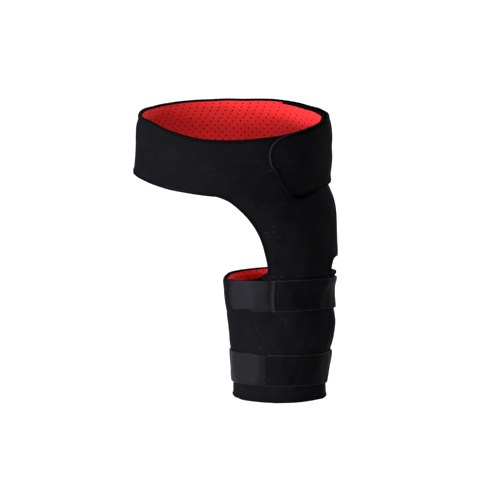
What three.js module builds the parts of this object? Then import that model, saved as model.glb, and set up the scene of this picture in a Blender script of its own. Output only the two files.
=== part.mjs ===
import * as THREE from 'three';

// A hip support brace: a waist belt, a panel down one hip and a wrap round the thigh with two straps.
// Millimetres. +X is to the side of the braced hip, -Y to the front and +Z up.
// The origin is the middle of the waist, half way up the belt at the sides.
// An azimuth is in degrees round the body: 0 at the braced side, 90 behind, 180 at the far side and
// -90 in front.

// The whole brace. The tables below are drawn for the pattern's size, and the form is scaled from it.
const WAIST_WIDTH = 324;
const WAIST_DEPTH = 231;
const HEIGHT = 494;
const PATTERN = { width: 324, depth: 231, height: 494 };

const WALL = 3; // neoprene sheet
const LINING = 1;
const GAP = 0.7; // between one layer and the next
const LINING_INSET = 1.5; // from a piece's edge to its lining's
const TAPE = 0.8; // binding tape
const TAPE_LEG = 6; // how far the binding reaches in from the edge, on the outside
const TAPE_TUCK = 2.6; // the same on the inside, over the lining
const FLAP_LIFT = 3.7; // from the front panel to the inside of the flap over it
const STRAP = 2.5;
const TAB = 2;
const UPPER_STRAP_LIFT = 2; // over the binding at the top of the wrap
const LOWER_STRAP_LIFT = 1;
const COLUMN_STEP = 10; // degrees between two columns of a wall
const STRAP_STEP = 6;

const SIDE_SEAM = -172; // where the front of the belt is sewn to its back
const FRONT_END = 55; // where the front panel ends, inside the back of the belt
const BACK_LINING_START = 56.2; // and where the lining of the back starts, as near to it as the layers allow
const HIP_START = -99; // where the front edge of the hip panel leaves the belt
const WRAP_SEAM_Z = -236; // the hip panel is sewn to the wrap here, under the upper strap
const WRAP_SEAM_FROM = -107.5;
const WRAP_SEAM_TO = -28.3;
const SEAM_SPACE = 0.35; // degrees on each side of a seam
const INSET_TURN = 0.6; // degrees for each millimetre that a lining stays in from an upright edge
const FLAP_REACH = -66.2; // how far round the flap's end comes, half way up
const LIFT_STARTS = 85; // the back of the belt starts to lift off the form here
const LIFT_ENDS = 60; // and is wholly over the front panel here
const STRAP_SEWN = 118; // where both straps start, at the back
const TAB_CORNER = { reach: 1.2, cuts: [3.5, 0.8] }; // a tab's corners: degrees, and millimetres off its side

// How many rows of faces each grid has from its bottom to its top.
const BELT_ROWS = 4;
const TUBE_ROWS = 7;
const BAND_ROWS = 1;
const STRAP_SIDES = [-1, -0.4, 0.4, 1]; // a strap's rows, as shares of half its width

// The body that the brace fits, as ovals: how far each reaches to the four sides.
const FORM = [
  { z: 78, left: -152, right: 143, front: -108, back: 106 },
  { z: 52, left: -157, right: 150, front: -112, back: 111 },
  { z: 35, left: -161, right: 155.2, front: -113.5, back: 114 },
  { z: 18, left: -162, right: 157.4, front: -114.5, back: 115.5 },
  { z: 0, left: -162, right: 157, front: -115, back: 116 },
  { z: -24, left: -164.4, right: 158, front: -116, back: 117 },
  { z: -44, left: -167, right: 157, front: -117, back: 118 },
  { z: -60, left: -166.4, right: 156.8, front: -118, back: 119 },
  { z: -72, left: -157, right: 161.6, front: -118, back: 119 },
  { z: -86, left: -139, right: 166.6, front: -115.5, back: 118 },
  { z: -102, left: -117, right: 169.8, front: -111.5, back: 115.5 },
  { z: -122, left: -93, right: 172.2, front: -105.5, back: 109 },
  { z: -150, left: -62, right: 173.4, front: -96.5, back: 101 },
  { z: -181, left: -37.6, right: 174.2, front: -87.5, back: 91 },
  { z: -212, left: -19.5, right: 172.4, front: -81.5, back: 84 },
  { z: -224, left: -18.4, right: 171, front: -80, back: 82 },
  { z: -238, left: -18, right: 167.4, front: -79, back: 80.5 },
  { z: -264, left: -15.2, right: 168, front: -78.5, back: 79.5 },
  { z: -284, left: -12.4, right: 169.9, front: -78.5, back: 79.5 },
  { z: -302, left: -10, right: 171.8, front: -78.5, back: 79.5 },
  { z: -326, left: -7.4, right: 168.4, front: -76, back: 77 },
  { z: -344, left: -5.4, right: 163.8, front: -73.5, back: 74.5 },
  { z: -362, left: -4.8, right: 163.2, front: -70.8, back: 72 },
  { z: -392, left: -4, right: 158.6, front: -68.2, back: 69 },
  { z: -412, left: -1.4, right: 156.2, front: -67.6, back: 68.4 },
  { z: -432, left: -1, right: 156.6, front: -68, back: 69 },
];

// The top edge of the belt, all the way round.
const BELT_TOP = [
  { azimuth: -180, z: 52.8 },
  { azimuth: -150, z: 49.2 },
  { azimuth: -130, z: 38.8 },
  { azimuth: -110, z: 28.8 },
  { azimuth: -90, z: 26.8 },
  { azimuth: -72, z: 29.6 },
  { azimuth: -54, z: 33.6 },
  { azimuth: -30, z: 41.4 },
  { azimuth: 0, z: 49 },
  { azimuth: 36, z: 54.6 },
  { azimuth: 64, z: 59.6 },
  { azimuth: 82, z: 60.6 },
  { azimuth: 115, z: 59.6 },
  { azimuth: 150, z: 57 },
];

// The bottom edge of the belt in front, and the line where the hip panel goes on below it.
const FRONT_BOTTOM = [
  { azimuth: -180, z: -42.6 },
  { azimuth: -156, z: -46.8 },
  { azimuth: -141, z: -52 },
  { azimuth: -119, z: -59.6 },
  { azimuth: -100, z: -63.8 },
  { azimuth: -70, z: -66 },
  { azimuth: -30, z: -60 },
  { azimuth: 10, z: -50 },
  { azimuth: 60, z: -43 },
];

// The bottom edge of the belt behind, on to the lower corner of the flap.
const BACK_BOTTOM = [
  { azimuth: -60, z: -72.3 },
  { azimuth: -52, z: -73.8 },
  { azimuth: -44, z: -71.4 },
  { azimuth: -36, z: -67.2 },
  { azimuth: -24, z: -61.8 },
  { azimuth: -8, z: -58.4 },
  { azimuth: 20, z: -53.8 },
  { azimuth: 55, z: -44.8 },
  { azimuth: 90, z: -38.8 },
  { azimuth: 130, z: -38.3 },
  { azimuth: 160, z: -40.8 },
  { azimuth: 190, z: -43.3 },
];

// The rounded end of the flap: how far round it reaches, by the share of its height.
const FLAP_END = [
  { share: 0, azimuth: -49.1 },
  { share: 0.03, azimuth: -53.2 },
  { share: 0.09, azimuth: -55.6 },
  { share: 0.22, azimuth: -58.8 },
  { share: 0.4, azimuth: -62.2 },
  { share: 0.56, azimuth: FLAP_REACH },
  { share: 0.7, azimuth: -67.4 },
  { share: 0.84, azimuth: -66.6 },
  { share: 0.92, azimuth: -64.2 },
  { share: 0.97, azimuth: -60.6 },
  { share: 1, azimuth: -55.6 },
];

// The hip panel below the belt, row by row: its front edge and its back edge.
// The back edge sweeps forward, and above the wrap it is cut in to a notch. The last rows are sewn in.
const HIP_BOUND_ROWS = 15;
const HIP_BLEND_ROWS = 4; // the belt's curved foot straightens out over these
const HIP = [
  { frontZ: -63.8, front: HIP_START, backZ: -43.6, back: 55 },
  { frontZ: -66, front: -96.6, backZ: -52, back: 51.6 },
  { frontZ: -72, front: -93.4, backZ: -62, back: 47.4 },
  { frontZ: -82, front: -91.8, backZ: -76, back: 41.4 },
  { frontZ: -102, front: -90.8, backZ: -96, back: 33.4 },
  { frontZ: -124, front: -91, backZ: -120, back: 25 },
  { frontZ: -145, front: -92.8, backZ: -144, back: 16.6 },
  { frontZ: -160, front: -94.4, backZ: -162, back: 9.4 },
  { frontZ: -170, front: -95.4, backZ: -177, back: 3.6 },
  { frontZ: -175, front: -95.9, backZ: -187, back: 0.6 },
  { frontZ: -181, front: -96.5, backZ: -185.4, back: -8.5 },
  { frontZ: -187, front: -97.2, backZ: -184.6, back: -17 },
  { frontZ: -193.6, front: -98.2, backZ: -187.4, back: -23.2 },
  { frontZ: -201, front: -100.4, backZ: -197, back: -26.4 },
  { frontZ: -208.6, front: WRAP_SEAM_FROM, backZ: -210.4, back: WRAP_SEAM_TO },
  { frontZ: -222, front: WRAP_SEAM_FROM, backZ: -222, back: WRAP_SEAM_TO },
  { frontZ: WRAP_SEAM_Z, front: WRAP_SEAM_FROM, backZ: WRAP_SEAM_Z, back: WRAP_SEAM_TO },
];

// The top edge of the thigh wrap, from the back of the notch round to the front edge of the hip panel.
const THIGH_TOP = [
  { azimuth: -28, z: -212.4 },
  { azimuth: 0, z: -214.8 },
  { azimuth: 30, z: -218.4 },
  { azimuth: 70, z: -223.6 },
  { azimuth: 110, z: -225.6 },
  { azimuth: 150, z: -225.6 },
  { azimuth: 181, z: -228 },
  { azimuth: 208, z: -221.6 },
  { azimuth: 226, z: -219.2 },
  { azimuth: 242, z: -215.2 },
  { azimuth: 252, z: -210.6 },
];

const HEM = [
  { azimuth: -180, z: -427 },
  { azimuth: -130, z: -425 },
  { azimuth: -90, z: -424.4 },
  { azimuth: -50, z: -425 },
  { azimuth: 0, z: -427.8 },
  { azimuth: 90, z: -429.4 },
];

// The two straps: the height of their middle in front and how far it sinks towards the back.
const STRAPS = {
  upper: { middle: -251.5, rise: 13, high: -80, width: 54, lift: UPPER_STRAP_LIFT, tab: -98, end: -148 },
  lower: { middle: -376, rise: 7.6, high: -98, width: 55, lift: LOWER_STRAP_LIFT, tab: -106, end: -194 },
};

// How each layer looks.
const FINISHES = {
  neoprene: { color: 0x1b1b1f, roughness: 0.92 },
  lining: { color: 0xd42a30, roughness: 0.85 },
  binding: { color: 0x151417, roughness: 0.8 },
  strap: { color: 0x131215, roughness: 0.75 },
  tab: { color: 0x34333a, roughness: 0.6 },
};

// The value of a table's column at a place in another column, along a smooth curve.
function curve(rows, from, to, period = 0) {
  let stops = rows.map((row) => [row[from], row[to]]).sort((a, b) => a[0] - b[0]);
  if (period) {
    stops = [-period, 0, period].flatMap((turn) => stops.map(([x, y]) => [x + turn, y]));
  }
  const slopes = stops.map((stop, i) => {
    const before = stops[Math.max(i - 1, 0)];
    const after = stops[Math.min(i + 1, stops.length - 1)];
    return (after[1] - before[1]) / (after[0] - before[0]);
  });
  return (at) => {
    const x = THREE.MathUtils.clamp(at, stops[0][0], stops[stops.length - 1][0]);
    let i = 0;
    while (i < stops.length - 2 && stops[i + 1][0] < x) i += 1;
    const span = stops[i + 1][0] - stops[i][0];
    const t = (x - stops[i][0]) / span;
    const keep = (1 + 2 * t) * (1 - t) ** 2;
    const reach = t * t * (3 - 2 * t);
    const leave = t * (1 - t) ** 2 * span;
    const arrive = t * t * (t - 1) * span;
    return keep * stops[i][1] + leave * slopes[i] + reach * stops[i + 1][1] + arrive * slopes[i + 1];
  };
}

const formLeft = curve(FORM, 'z', 'left');
const formRight = curve(FORM, 'z', 'right');
const formFront = curve(FORM, 'z', 'front');
const formBack = curve(FORM, 'z', 'back');
const beltTop = curve(BELT_TOP, 'azimuth', 'z', 360);
const frontBottom = curve(FRONT_BOTTOM, 'azimuth', 'z');
const backBottom = curve(BACK_BOTTOM, 'azimuth', 'z');
const flapEnd = curve(FLAP_END, 'share', 'azimuth');
const thighTop = curve(THIGH_TOP, 'azimuth', 'z');
const hem = curve(HEM, 'azimuth', 'z', 360);

const scaleX = WAIST_WIDTH / PATTERN.width;
const scaleY = WAIST_DEPTH / PATTERN.depth;
const scaleZ = HEIGHT / PATTERN.height;

// A point of the form, and the way out from it.
function skin({ azimuth, z }) {
  const angle = THREE.MathUtils.degToRad(azimuth);
  const left = formLeft(z);
  const right = formRight(z);
  const front = formFront(z);
  const back = formBack(z);
  return new THREE.Vector3(
    scaleX * ((left + right) / 2 + ((right - left) / 2) * Math.cos(angle)),
    scaleY * ((front + back) / 2 + ((back - front) / 2) * Math.sin(angle)),
    scaleZ * z,
  );
}

function outward({ azimuth, z }) {
  const round = skin({ azimuth: azimuth + 0.5, z }).sub(skin({ azimuth: azimuth - 0.5, z }));
  const up = skin({ azimuth, z: z + 1 }).sub(skin({ azimuth, z: z - 1 }));
  return round.cross(up).normalize();
}

function place(at, out) {
  return skin(at).addScaledVector(outward(at), out);
}

// The place that is some way along the form from another one.
function slide({ azimuth, z }, direction, distance) {
  const round = skin({ azimuth: azimuth + 0.5, z }).sub(skin({ azimuth: azimuth - 0.5, z }));
  const up = skin({ azimuth, z: z + 0.5 }).sub(skin({ azimuth, z: z - 0.5 }));
  const [rr, ru, uu] = [round.dot(round), round.dot(up), up.dot(up)];
  const [dr, du] = [round.dot(direction) * distance, up.dot(direction) * distance];
  const scale = rr * uu - ru * ru;
  return { azimuth: azimuth + (dr * uu - du * ru) / scale, z: z + (du * rr - dr * ru) / scale };
}

// The inside of the back of the belt: it lifts off the form where it goes over the front panel.
function backInside({ azimuth }) {
  const over = 1 - THREE.MathUtils.smoothstep(azimuth, LIFT_ENDS, LIFT_STARTS);
  return THREE.MathUtils.lerp(-WALL, FLAP_LIFT, over);
}

// Every step between two azimuths, with both of them.
function columns(from, to, step = COLUMN_STEP) {
  const between = [];
  for (let at = Math.ceil((from + step / 4) / step) * step; at < to - step / 4; at += step) between.push(at);
  return [from, ...between, to];
}

function shares(count) {
  return Array.from({ length: count + 1 }, (_, i) => i / count);
}

// A grid of places, rows going up, between a bottom and a top that depend on the azimuth.
function strip(azimuths, bottom, top, heights) {
  return heights.map((share) => azimuths.map((azimuth) => ({
    azimuth,
    z: THREE.MathUtils.lerp(bottom(azimuth), top(azimuth), share),
  })));
}

// The belt's front above and the hip panel below, as two grids that share the line between them.
function frontGrids(inset) {
  const turn = inset * INSET_TURN;
  const end = FRONT_END - turn;
  const beforeHip = columns(SIDE_SEAM + turn, HIP_START).slice(0, -1);
  const overHip = columns(HIP_START, FRONT_END).slice(1, -1);
  const azimuths = [...beforeHip, HIP_START + turn, ...overHip, end];
  const belt = strip(
    azimuths,
    (at) => frontBottom(at) + inset,
    (at) => beltTop(at) - inset,
    shares(BELT_ROWS),
  );
  const first = beforeHip.length;
  const reach = azimuths.slice(first).map((at) => (at - azimuths[first]) / (end - azimuths[first]));
  const rows = HIP.map((row, i) => {
    if (i === 0) return belt[0].slice(first);
    const down = THREE.MathUtils.clamp(i / HIP_BLEND_ROWS, 0, 1);
    const last = i === HIP.length - 1;
    return reach.map((share, j) => {
      const straight = THREE.MathUtils.lerp(row.frontZ, row.backZ, share);
      const chord = THREE.MathUtils.lerp(HIP[0].frontZ, HIP[0].backZ, share);
      const sag = (belt[0][first + j].z - inset - chord) * (1 - down);
      return {
        azimuth: THREE.MathUtils.lerp(row.front + turn, row.back - turn, share),
        z: straight + sag + (last ? inset : 0),
      };
    });
  });
  return [belt, rows.reverse()];
}

// The thigh wrap: a full tube, and above it a band that is open where the hip panel is sewn in.
function wrapGrids(inset) {
  const turn = 2 * SEAM_SPACE + inset * INSET_TURN;
  const from = WRAP_SEAM_TO + turn;
  const to = WRAP_SEAM_FROM + 360 - turn;
  const open = columns(from, to);
  const under = columns(to, from + 360).slice(1);
  const seam = () => WRAP_SEAM_Z - GAP - inset;
  const tube = strip([...open, ...under], (at) => hem(at) + inset, seam, shares(TUBE_ROWS));
  const band = strip(open, seam, (at) => thighTop(at) - inset, shares(BAND_ROWS));
  return [tube, band];
}

// The back of the belt, out to the rounded end of the flap. In front of the braced side its columns
// bend to the curve of that end.
function backGrid() {
  const azimuths = columns(FLAP_REACH, SIDE_SEAM + 360 - 2 * SEAM_SPACE);
  return [FLAP_END.map(({ share }) => azimuths.map((at) => {
    const azimuth = at < 0 ? (at / FLAP_REACH) * flapEnd(share) : at;
    return { azimuth, z: THREE.MathUtils.lerp(backBottom(azimuth), beltTop(azimuth), share) };
  }))];
}

// A band round the thigh between two azimuths, with its free end's corners cut round.
function strapGrid({ middle, rise, high, width }, from, to, freeEnd) {
  const steps = columns(from, to, STRAP_STEP);
  if (freeEnd) steps.splice(1, 0, from + TAB_CORNER.reach);
  const rows = STRAP_SIDES.map((side) => steps.map((azimuth, i) => {
    const taper = freeEnd ? TAB_CORNER.cuts[i] ?? 0 : 0;
    const height = middle + rise * Math.cos(THREE.MathUtils.degToRad(azimuth - high));
    return { azimuth, z: height + side * (width / 2 - taper) };
  }));
  return [rows];
}

// A closed mesh from points and from faces of three or four of them.
function solid(name, finish, points, faces) {
  const positions = [];
  for (const face of faces) {
    const ring = face.map((i) => points[i]);
    for (let k = 1; k + 1 < ring.length; k += 1) {
      for (const point of [ring[0], ring[k], ring[k + 1]]) positions.push(point.x, point.y, point.z);
    }
  }
  const geometry = new THREE.BufferGeometry();
  geometry.setAttribute('position', new THREE.Float32BufferAttribute(positions, 3));
  geometry.computeVertexNormals();
  const material = new THREE.MeshStandardMaterial({ ...FINISHES[finish], metalness: 0 });
  const mesh = new THREE.Mesh(geometry, material);
  mesh.name = name;
  return mesh;
}

// A wall between an inner and an outer face over grids of places, closed along every free edge.
function wall(name, finish, grids, inner, outer) {
  const places = [];
  const known = new Map();
  const find = (at) => {
    const turn = ((at.azimuth % 360) + 360) % 360;
    const key = `${(Math.round(turn * 1000) % 360000)} ${Math.round(at.z * 1000)}`;
    if (!known.has(key)) {
      known.set(key, places.length);
      places.push(at);
    }
    return known.get(key);
  };
  const cells = [];
  for (const rows of grids) {
    for (let i = 0; i + 1 < rows.length; i += 1) {
      for (let j = 0; j + 1 < rows[i].length; j += 1) {
        cells.push([rows[i][j], rows[i][j + 1], rows[i + 1][j + 1], rows[i + 1][j]].map(find));
      }
    }
  }
  const count = places.length;
  const points = [
    ...places.map((at) => place(at, outer(at))),
    ...places.map((at) => place(at, inner(at))),
  ];
  const edges = new Set();
  for (const cell of cells) cell.forEach((a, k) => edges.add(`${a} ${cell[(k + 1) % 4]}`));
  const faces = cells.flatMap((cell) => [cell, cell.map((i) => i + count).reverse()]);
  for (const cell of cells) {
    cell.forEach((a, k) => {
      const b = cell[(k + 1) % 4];
      if (!edges.has(`${b} ${a}`)) faces.push([b, a, a + count, b + count]);
    });
  }
  return solid(name, finish, points, faces);
}

// Tape folded over an edge. The path has the piece on its left, seen from outside.
function binding(name, path, inner, outer, closed = false) {
  const along = path.map((at) => skin(at));
  const points = [];
  path.forEach((at, i) => {
    const before = closed ? along.at(i - 1) : along[Math.max(i - 1, 0)];
    const after = closed ? along[(i + 1) % along.length] : along[Math.min(i + 1, along.length - 1)];
    const out = outward(at);
    const ahead = after.clone().sub(before).normalize();
    const into = out.clone().cross(ahead).normalize();
    const inwards = [TAPE_LEG, TAPE_TUCK, -GAP, -GAP - TAPE];
    const [leg, tuck, edge, fold] = inwards.map((distance) => slide(at, into, distance));
    const high = (where) => outer(where) + GAP;
    const low = (where) => inner(where) - GAP;
    points.push(
      place(leg, high(leg) + TAPE), place(fold, high(fold) + TAPE),
      place(fold, low(fold) - TAPE), place(tuck, low(tuck) - TAPE),
      place(tuck, low(tuck)), place(edge, low(edge)),
      place(edge, high(edge)), place(leg, high(leg)),
    );
  });
  const faces = [];
  const sides = 8;
  for (let i = 0; i < path.length - (closed ? 0 : 1); i += 1) {
    const next = (i + 1) % path.length;
    for (let k = 0; k < sides; k += 1) {
      const m = (k + 1) % sides;
      faces.push([i * sides + k, i * sides + m, next * sides + m, next * sides + k]);
    }
  }
  if (!closed) {
    const last = (path.length - 1) * sides;
    for (const [a, b, c, d] of [[0, 1, 6, 7], [1, 2, 5, 6], [2, 3, 4, 5]]) {
      faces.push([d, c, b, a], [last + a, last + b, last + c, last + d]);
    }
  }
  return solid(name, 'binding', points, faces);
}

const level = (out) => () => out;
const SHELL_INSIDE = -WALL;
const LINING_OUTSIDE = SHELL_INSIDE - GAP;
const LINING_INSIDE = LINING_OUTSIDE - LINING;

const brace = new THREE.Group();
brace.name = 'hip_support_brace';

// The three walls of neoprene.
const frontPanel = frontGrids(0);
const back = backGrid();
const wrap = wrapGrids(0);
const inside = level(SHELL_INSIDE);
const flush = level(0);
const backOutside = (at) => backInside(at) + WALL;
brace.add(
  wall('front_panel', 'neoprene', frontPanel, inside, flush),
  wall('back_belt', 'neoprene', back, backInside, backOutside),
  wall('thigh_wrap', 'neoprene', wrap, inside, flush),
);

// Their red linings. The flap has none, because it lies on the front panel.
const backLining = strip(
  columns(BACK_LINING_START, SIDE_SEAM + 360 - 2 * SEAM_SPACE - LINING_INSET * INSET_TURN),
  (at) => backBottom(at) + LINING_INSET,
  (at) => beltTop(at) - LINING_INSET,
  shares(BELT_ROWS),
);
const liningFace = level(LINING_INSIDE);
const liningBack = level(LINING_OUTSIDE);
const backLiningFace = (at) => backInside(at) - GAP - LINING;
brace.add(
  wall('front_lining', 'lining', frontGrids(LINING_INSET), liningFace, liningBack),
  wall('back_lining', 'lining', [backLining], backLiningFace, (at) => backInside(at) - GAP),
  wall('thigh_lining', 'lining', wrapGrids(LINING_INSET), liningFace, liningBack),
);

// The straps, each sewn on behind, round the outside and across the front to its hook tab.
for (const [name, strap] of Object.entries(STRAPS)) {
  const grid = strapGrid(strap, strap.tab, STRAP_SEWN, false);
  brace.add(wall(`${name}_strap`, 'strap', grid, level(strap.lift), level(strap.lift + STRAP)));
  const tab = strapGrid(strap, strap.end, strap.tab - SEAM_SPACE, true);
  brace.add(wall(`${name}_tab`, 'tab', tab, level(strap.lift), level(strap.lift + TAB)));
}

// The bindings, each along an edge of its wall and its lining. Under the flap the back has no lining.
const belt = frontPanel[0];
const hip = frontPanel[1].slice().reverse();
const beltFoot = belt[0].filter((at) => at.azimuth < HIP_START);
const wrapTop = wrap[1].at(-1).slice(1, -1);
const backRows = back[0];
const flapRound = [
  ...backRows.at(-1).slice(1).reverse(),
  ...backRows.map((row) => row[0]).reverse(),
  ...backRows[0].slice(1),
];
const hipFront = hip.slice(0, HIP_BOUND_ROWS).map((row) => row[0]);
const hipBack = hip.slice(1, HIP_BOUND_ROWS).map((row) => row.at(-1));
const lined = (at) => (at.azimuth > FRONT_END ? backLiningFace(at) : backInside(at));
brace.add(
  binding('front_top_binding', belt.at(-1).slice(0, -1).reverse(), liningFace, flush),
  binding('hip_front_binding', [...beltFoot, ...hipFront], liningFace, flush),
  binding('hip_back_binding', hipBack.reverse(), liningFace, flush),
  binding('back_binding', flapRound, lined, backOutside),
  binding('thigh_top_binding', wrapTop.reverse(), liningFace, flush),
  binding('hem_binding', wrap[0][0].slice(0, -1), liningFace, flush, true),
);

export default brace;
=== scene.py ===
"""A hip support brace over its frame: neoprene walls, perforated lining, bound edges, straps and stitches.

Tables are in millimetres and degrees, as a pattern maker draws them, and meshes are in metres.
An azimuth goes round the body: 0 at the braced side, 90 behind, 180 at the far side, -90 in front.
"""

import logging
import math
from dataclasses import dataclass, field
from enum import Enum
from typing import Callable, Sequence

import bmesh
import bpy
import numpy as np
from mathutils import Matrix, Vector

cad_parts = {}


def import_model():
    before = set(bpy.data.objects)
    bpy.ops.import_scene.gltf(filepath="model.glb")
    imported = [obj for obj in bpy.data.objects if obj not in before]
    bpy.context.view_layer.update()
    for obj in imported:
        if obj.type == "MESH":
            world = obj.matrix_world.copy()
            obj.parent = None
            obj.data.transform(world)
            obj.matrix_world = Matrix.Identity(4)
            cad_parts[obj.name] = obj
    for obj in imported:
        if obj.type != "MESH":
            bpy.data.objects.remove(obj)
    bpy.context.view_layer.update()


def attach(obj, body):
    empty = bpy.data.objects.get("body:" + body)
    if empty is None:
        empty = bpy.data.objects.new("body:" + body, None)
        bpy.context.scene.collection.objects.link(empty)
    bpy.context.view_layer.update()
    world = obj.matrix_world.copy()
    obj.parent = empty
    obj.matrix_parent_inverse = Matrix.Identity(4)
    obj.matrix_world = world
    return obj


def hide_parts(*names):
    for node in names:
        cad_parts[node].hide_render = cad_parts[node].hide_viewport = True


log = logging.getLogger("brace")

MM = 0.001
BODY = "root"

Row = dict[str, float]
Field = Callable[[np.ndarray, np.ndarray], np.ndarray]

# How thick each layer is, and the clearances between them
WALL = 3.0
LINING = 1.0
GAP = 0.7
TAPE = 0.8
TAPE_EASE = 0.2
FLAP_LIFT = 3.7

# How far out the lining's face on the side of the body is, how far it stays in from an edge, and
# how far the thread stands off it
BODY_SIDE = -WALL - GAP - LINING
LINING_INSET = 1.5
THREAD_PROUD = 0.25

# Where the pieces start, end and meet, in degrees round the body and in height
SIDE_SEAM = -172.0
FRONT_END = 55.0
HIP_START = -99.0
WRAP_SEAM_Z = -236.0
WRAP_SEAM_FROM = -107.5
WRAP_SEAM_TO = -28.3
STRAP_SEWN = 118.0

# How many degrees of turn keep a millimetre from an edge, and the most where two pieces meet
TURN_PER_MM = 0.6
CLOSE_TURN = 0.05

# The angles in degrees over which an edge of each kind of mesh stays sharp
SHARP_FACE = 60
SHARP_WALL = 45
SHARP_BAND = 50
SHARP_LINING = 35

# How softly lint starts, how much lies everywhere, the share of a linty spot that is full of it,
# and how much bluer it is than it is red
LINT_SOFTNESS = 0.06
LINT_EVERYWHERE = 0.35
LINT_HEART = 0.3
FLECK_BLUE = 1.08

FORM = [
    {"z": 78, "left": -152, "right": 143, "front": -108, "back": 106},
    {"z": 52, "left": -157, "right": 150, "front": -112, "back": 111},
    {"z": 35, "left": -161, "right": 155.2, "front": -113.5, "back": 114},
    {"z": 18, "left": -162, "right": 157.4, "front": -114.5, "back": 115.5},
    {"z": 0, "left": -162, "right": 157, "front": -115, "back": 116},
    {"z": -24, "left": -164.4, "right": 158, "front": -116, "back": 117},
    {"z": -44, "left": -167, "right": 157, "front": -117, "back": 118},
    {"z": -60, "left": -166.4, "right": 156.8, "front": -118, "back": 119},
    {"z": -72, "left": -157, "right": 161.6, "front": -118, "back": 119},
    {"z": -86, "left": -139, "right": 166.6, "front": -115.5, "back": 118},
    {"z": -102, "left": -117, "right": 169.8, "front": -111.5, "back": 115.5},
    {"z": -122, "left": -93, "right": 172.2, "front": -105.5, "back": 109},
    {"z": -150, "left": -62, "right": 173.4, "front": -96.5, "back": 101},
    {"z": -181, "left": -37.6, "right": 174.2, "front": -87.5, "back": 91},
    {"z": -212, "left": -19.5, "right": 172.4, "front": -81.5, "back": 84},
    {"z": -224, "left": -18.4, "right": 171, "front": -80, "back": 82},
    {"z": -238, "left": -18, "right": 167.4, "front": -79, "back": 80.5},
    {"z": -264, "left": -15.2, "right": 168, "front": -78.5, "back": 79.5},
    {"z": -284, "left": -12.4, "right": 169.9, "front": -78.5, "back": 79.5},
    {"z": -302, "left": -10, "right": 171.8, "front": -78.5, "back": 79.5},
    {"z": -326, "left": -7.4, "right": 168.4, "front": -76, "back": 77},
    {"z": -344, "left": -5.4, "right": 163.8, "front": -73.5, "back": 74.5},
    {"z": -362, "left": -4.8, "right": 163.2, "front": -70.8, "back": 72},
    {"z": -392, "left": -4, "right": 158.6, "front": -68.2, "back": 69},
    {"z": -412, "left": -1.4, "right": 156.2, "front": -67.6, "back": 68.4},
    {"z": -432, "left": -1, "right": 156.6, "front": -68, "back": 69},
]

BELT_TOP = [
    {"azimuth": -180, "z": 52.8},
    {"azimuth": -150, "z": 49.2},
    {"azimuth": -130, "z": 38.8},
    {"azimuth": -110, "z": 28.8},
    {"azimuth": -90, "z": 26.8},
    {"azimuth": -72, "z": 29.6},
    {"azimuth": -54, "z": 33.6},
    {"azimuth": -30, "z": 41.4},
    {"azimuth": 0, "z": 49},
    {"azimuth": 36, "z": 54.6},
    {"azimuth": 64, "z": 59.6},
    {"azimuth": 82, "z": 60.6},
    {"azimuth": 115, "z": 59.6},
    {"azimuth": 150, "z": 57},
]

FRONT_BOTTOM = [
    {"azimuth": -180, "z": -42.6},
    {"azimuth": -156, "z": -46.8},
    {"azimuth": -141, "z": -52},
    {"azimuth": -119, "z": -59.6},
    {"azimuth": -100, "z": -63.8},
    {"azimuth": -70, "z": -66},
    {"azimuth": -30, "z": -60},
    {"azimuth": 10, "z": -50},
    {"azimuth": 60, "z": -43},
]

BACK_BOTTOM = [
    {"azimuth": -60, "z": -72.3},
    {"azimuth": -52, "z": -73.8},
    {"azimuth": -44, "z": -71.4},
    {"azimuth": -36, "z": -67.2},
    {"azimuth": -24, "z": -61.8},
    {"azimuth": -8, "z": -58.4},
    {"azimuth": 20, "z": -53.8},
    {"azimuth": 55, "z": -44.8},
    {"azimuth": 90, "z": -38.8},
    {"azimuth": 130, "z": -38.3},
    {"azimuth": 160, "z": -40.8},
    {"azimuth": 190, "z": -43.3},
]

FLAP_END = [
    {"share": 0, "azimuth": -49.1},
    {"share": 0.03, "azimuth": -53.2},
    {"share": 0.09, "azimuth": -55.6},
    {"share": 0.22, "azimuth": -58.8},
    {"share": 0.4, "azimuth": -62.2},
    {"share": 0.56, "azimuth": -66.2},
    {"share": 0.7, "azimuth": -67.4},
    {"share": 0.84, "azimuth": -66.6},
    {"share": 0.92, "azimuth": -64.2},
    {"share": 0.97, "azimuth": -60.6},
    {"share": 1, "azimuth": -55.6},
]

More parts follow.
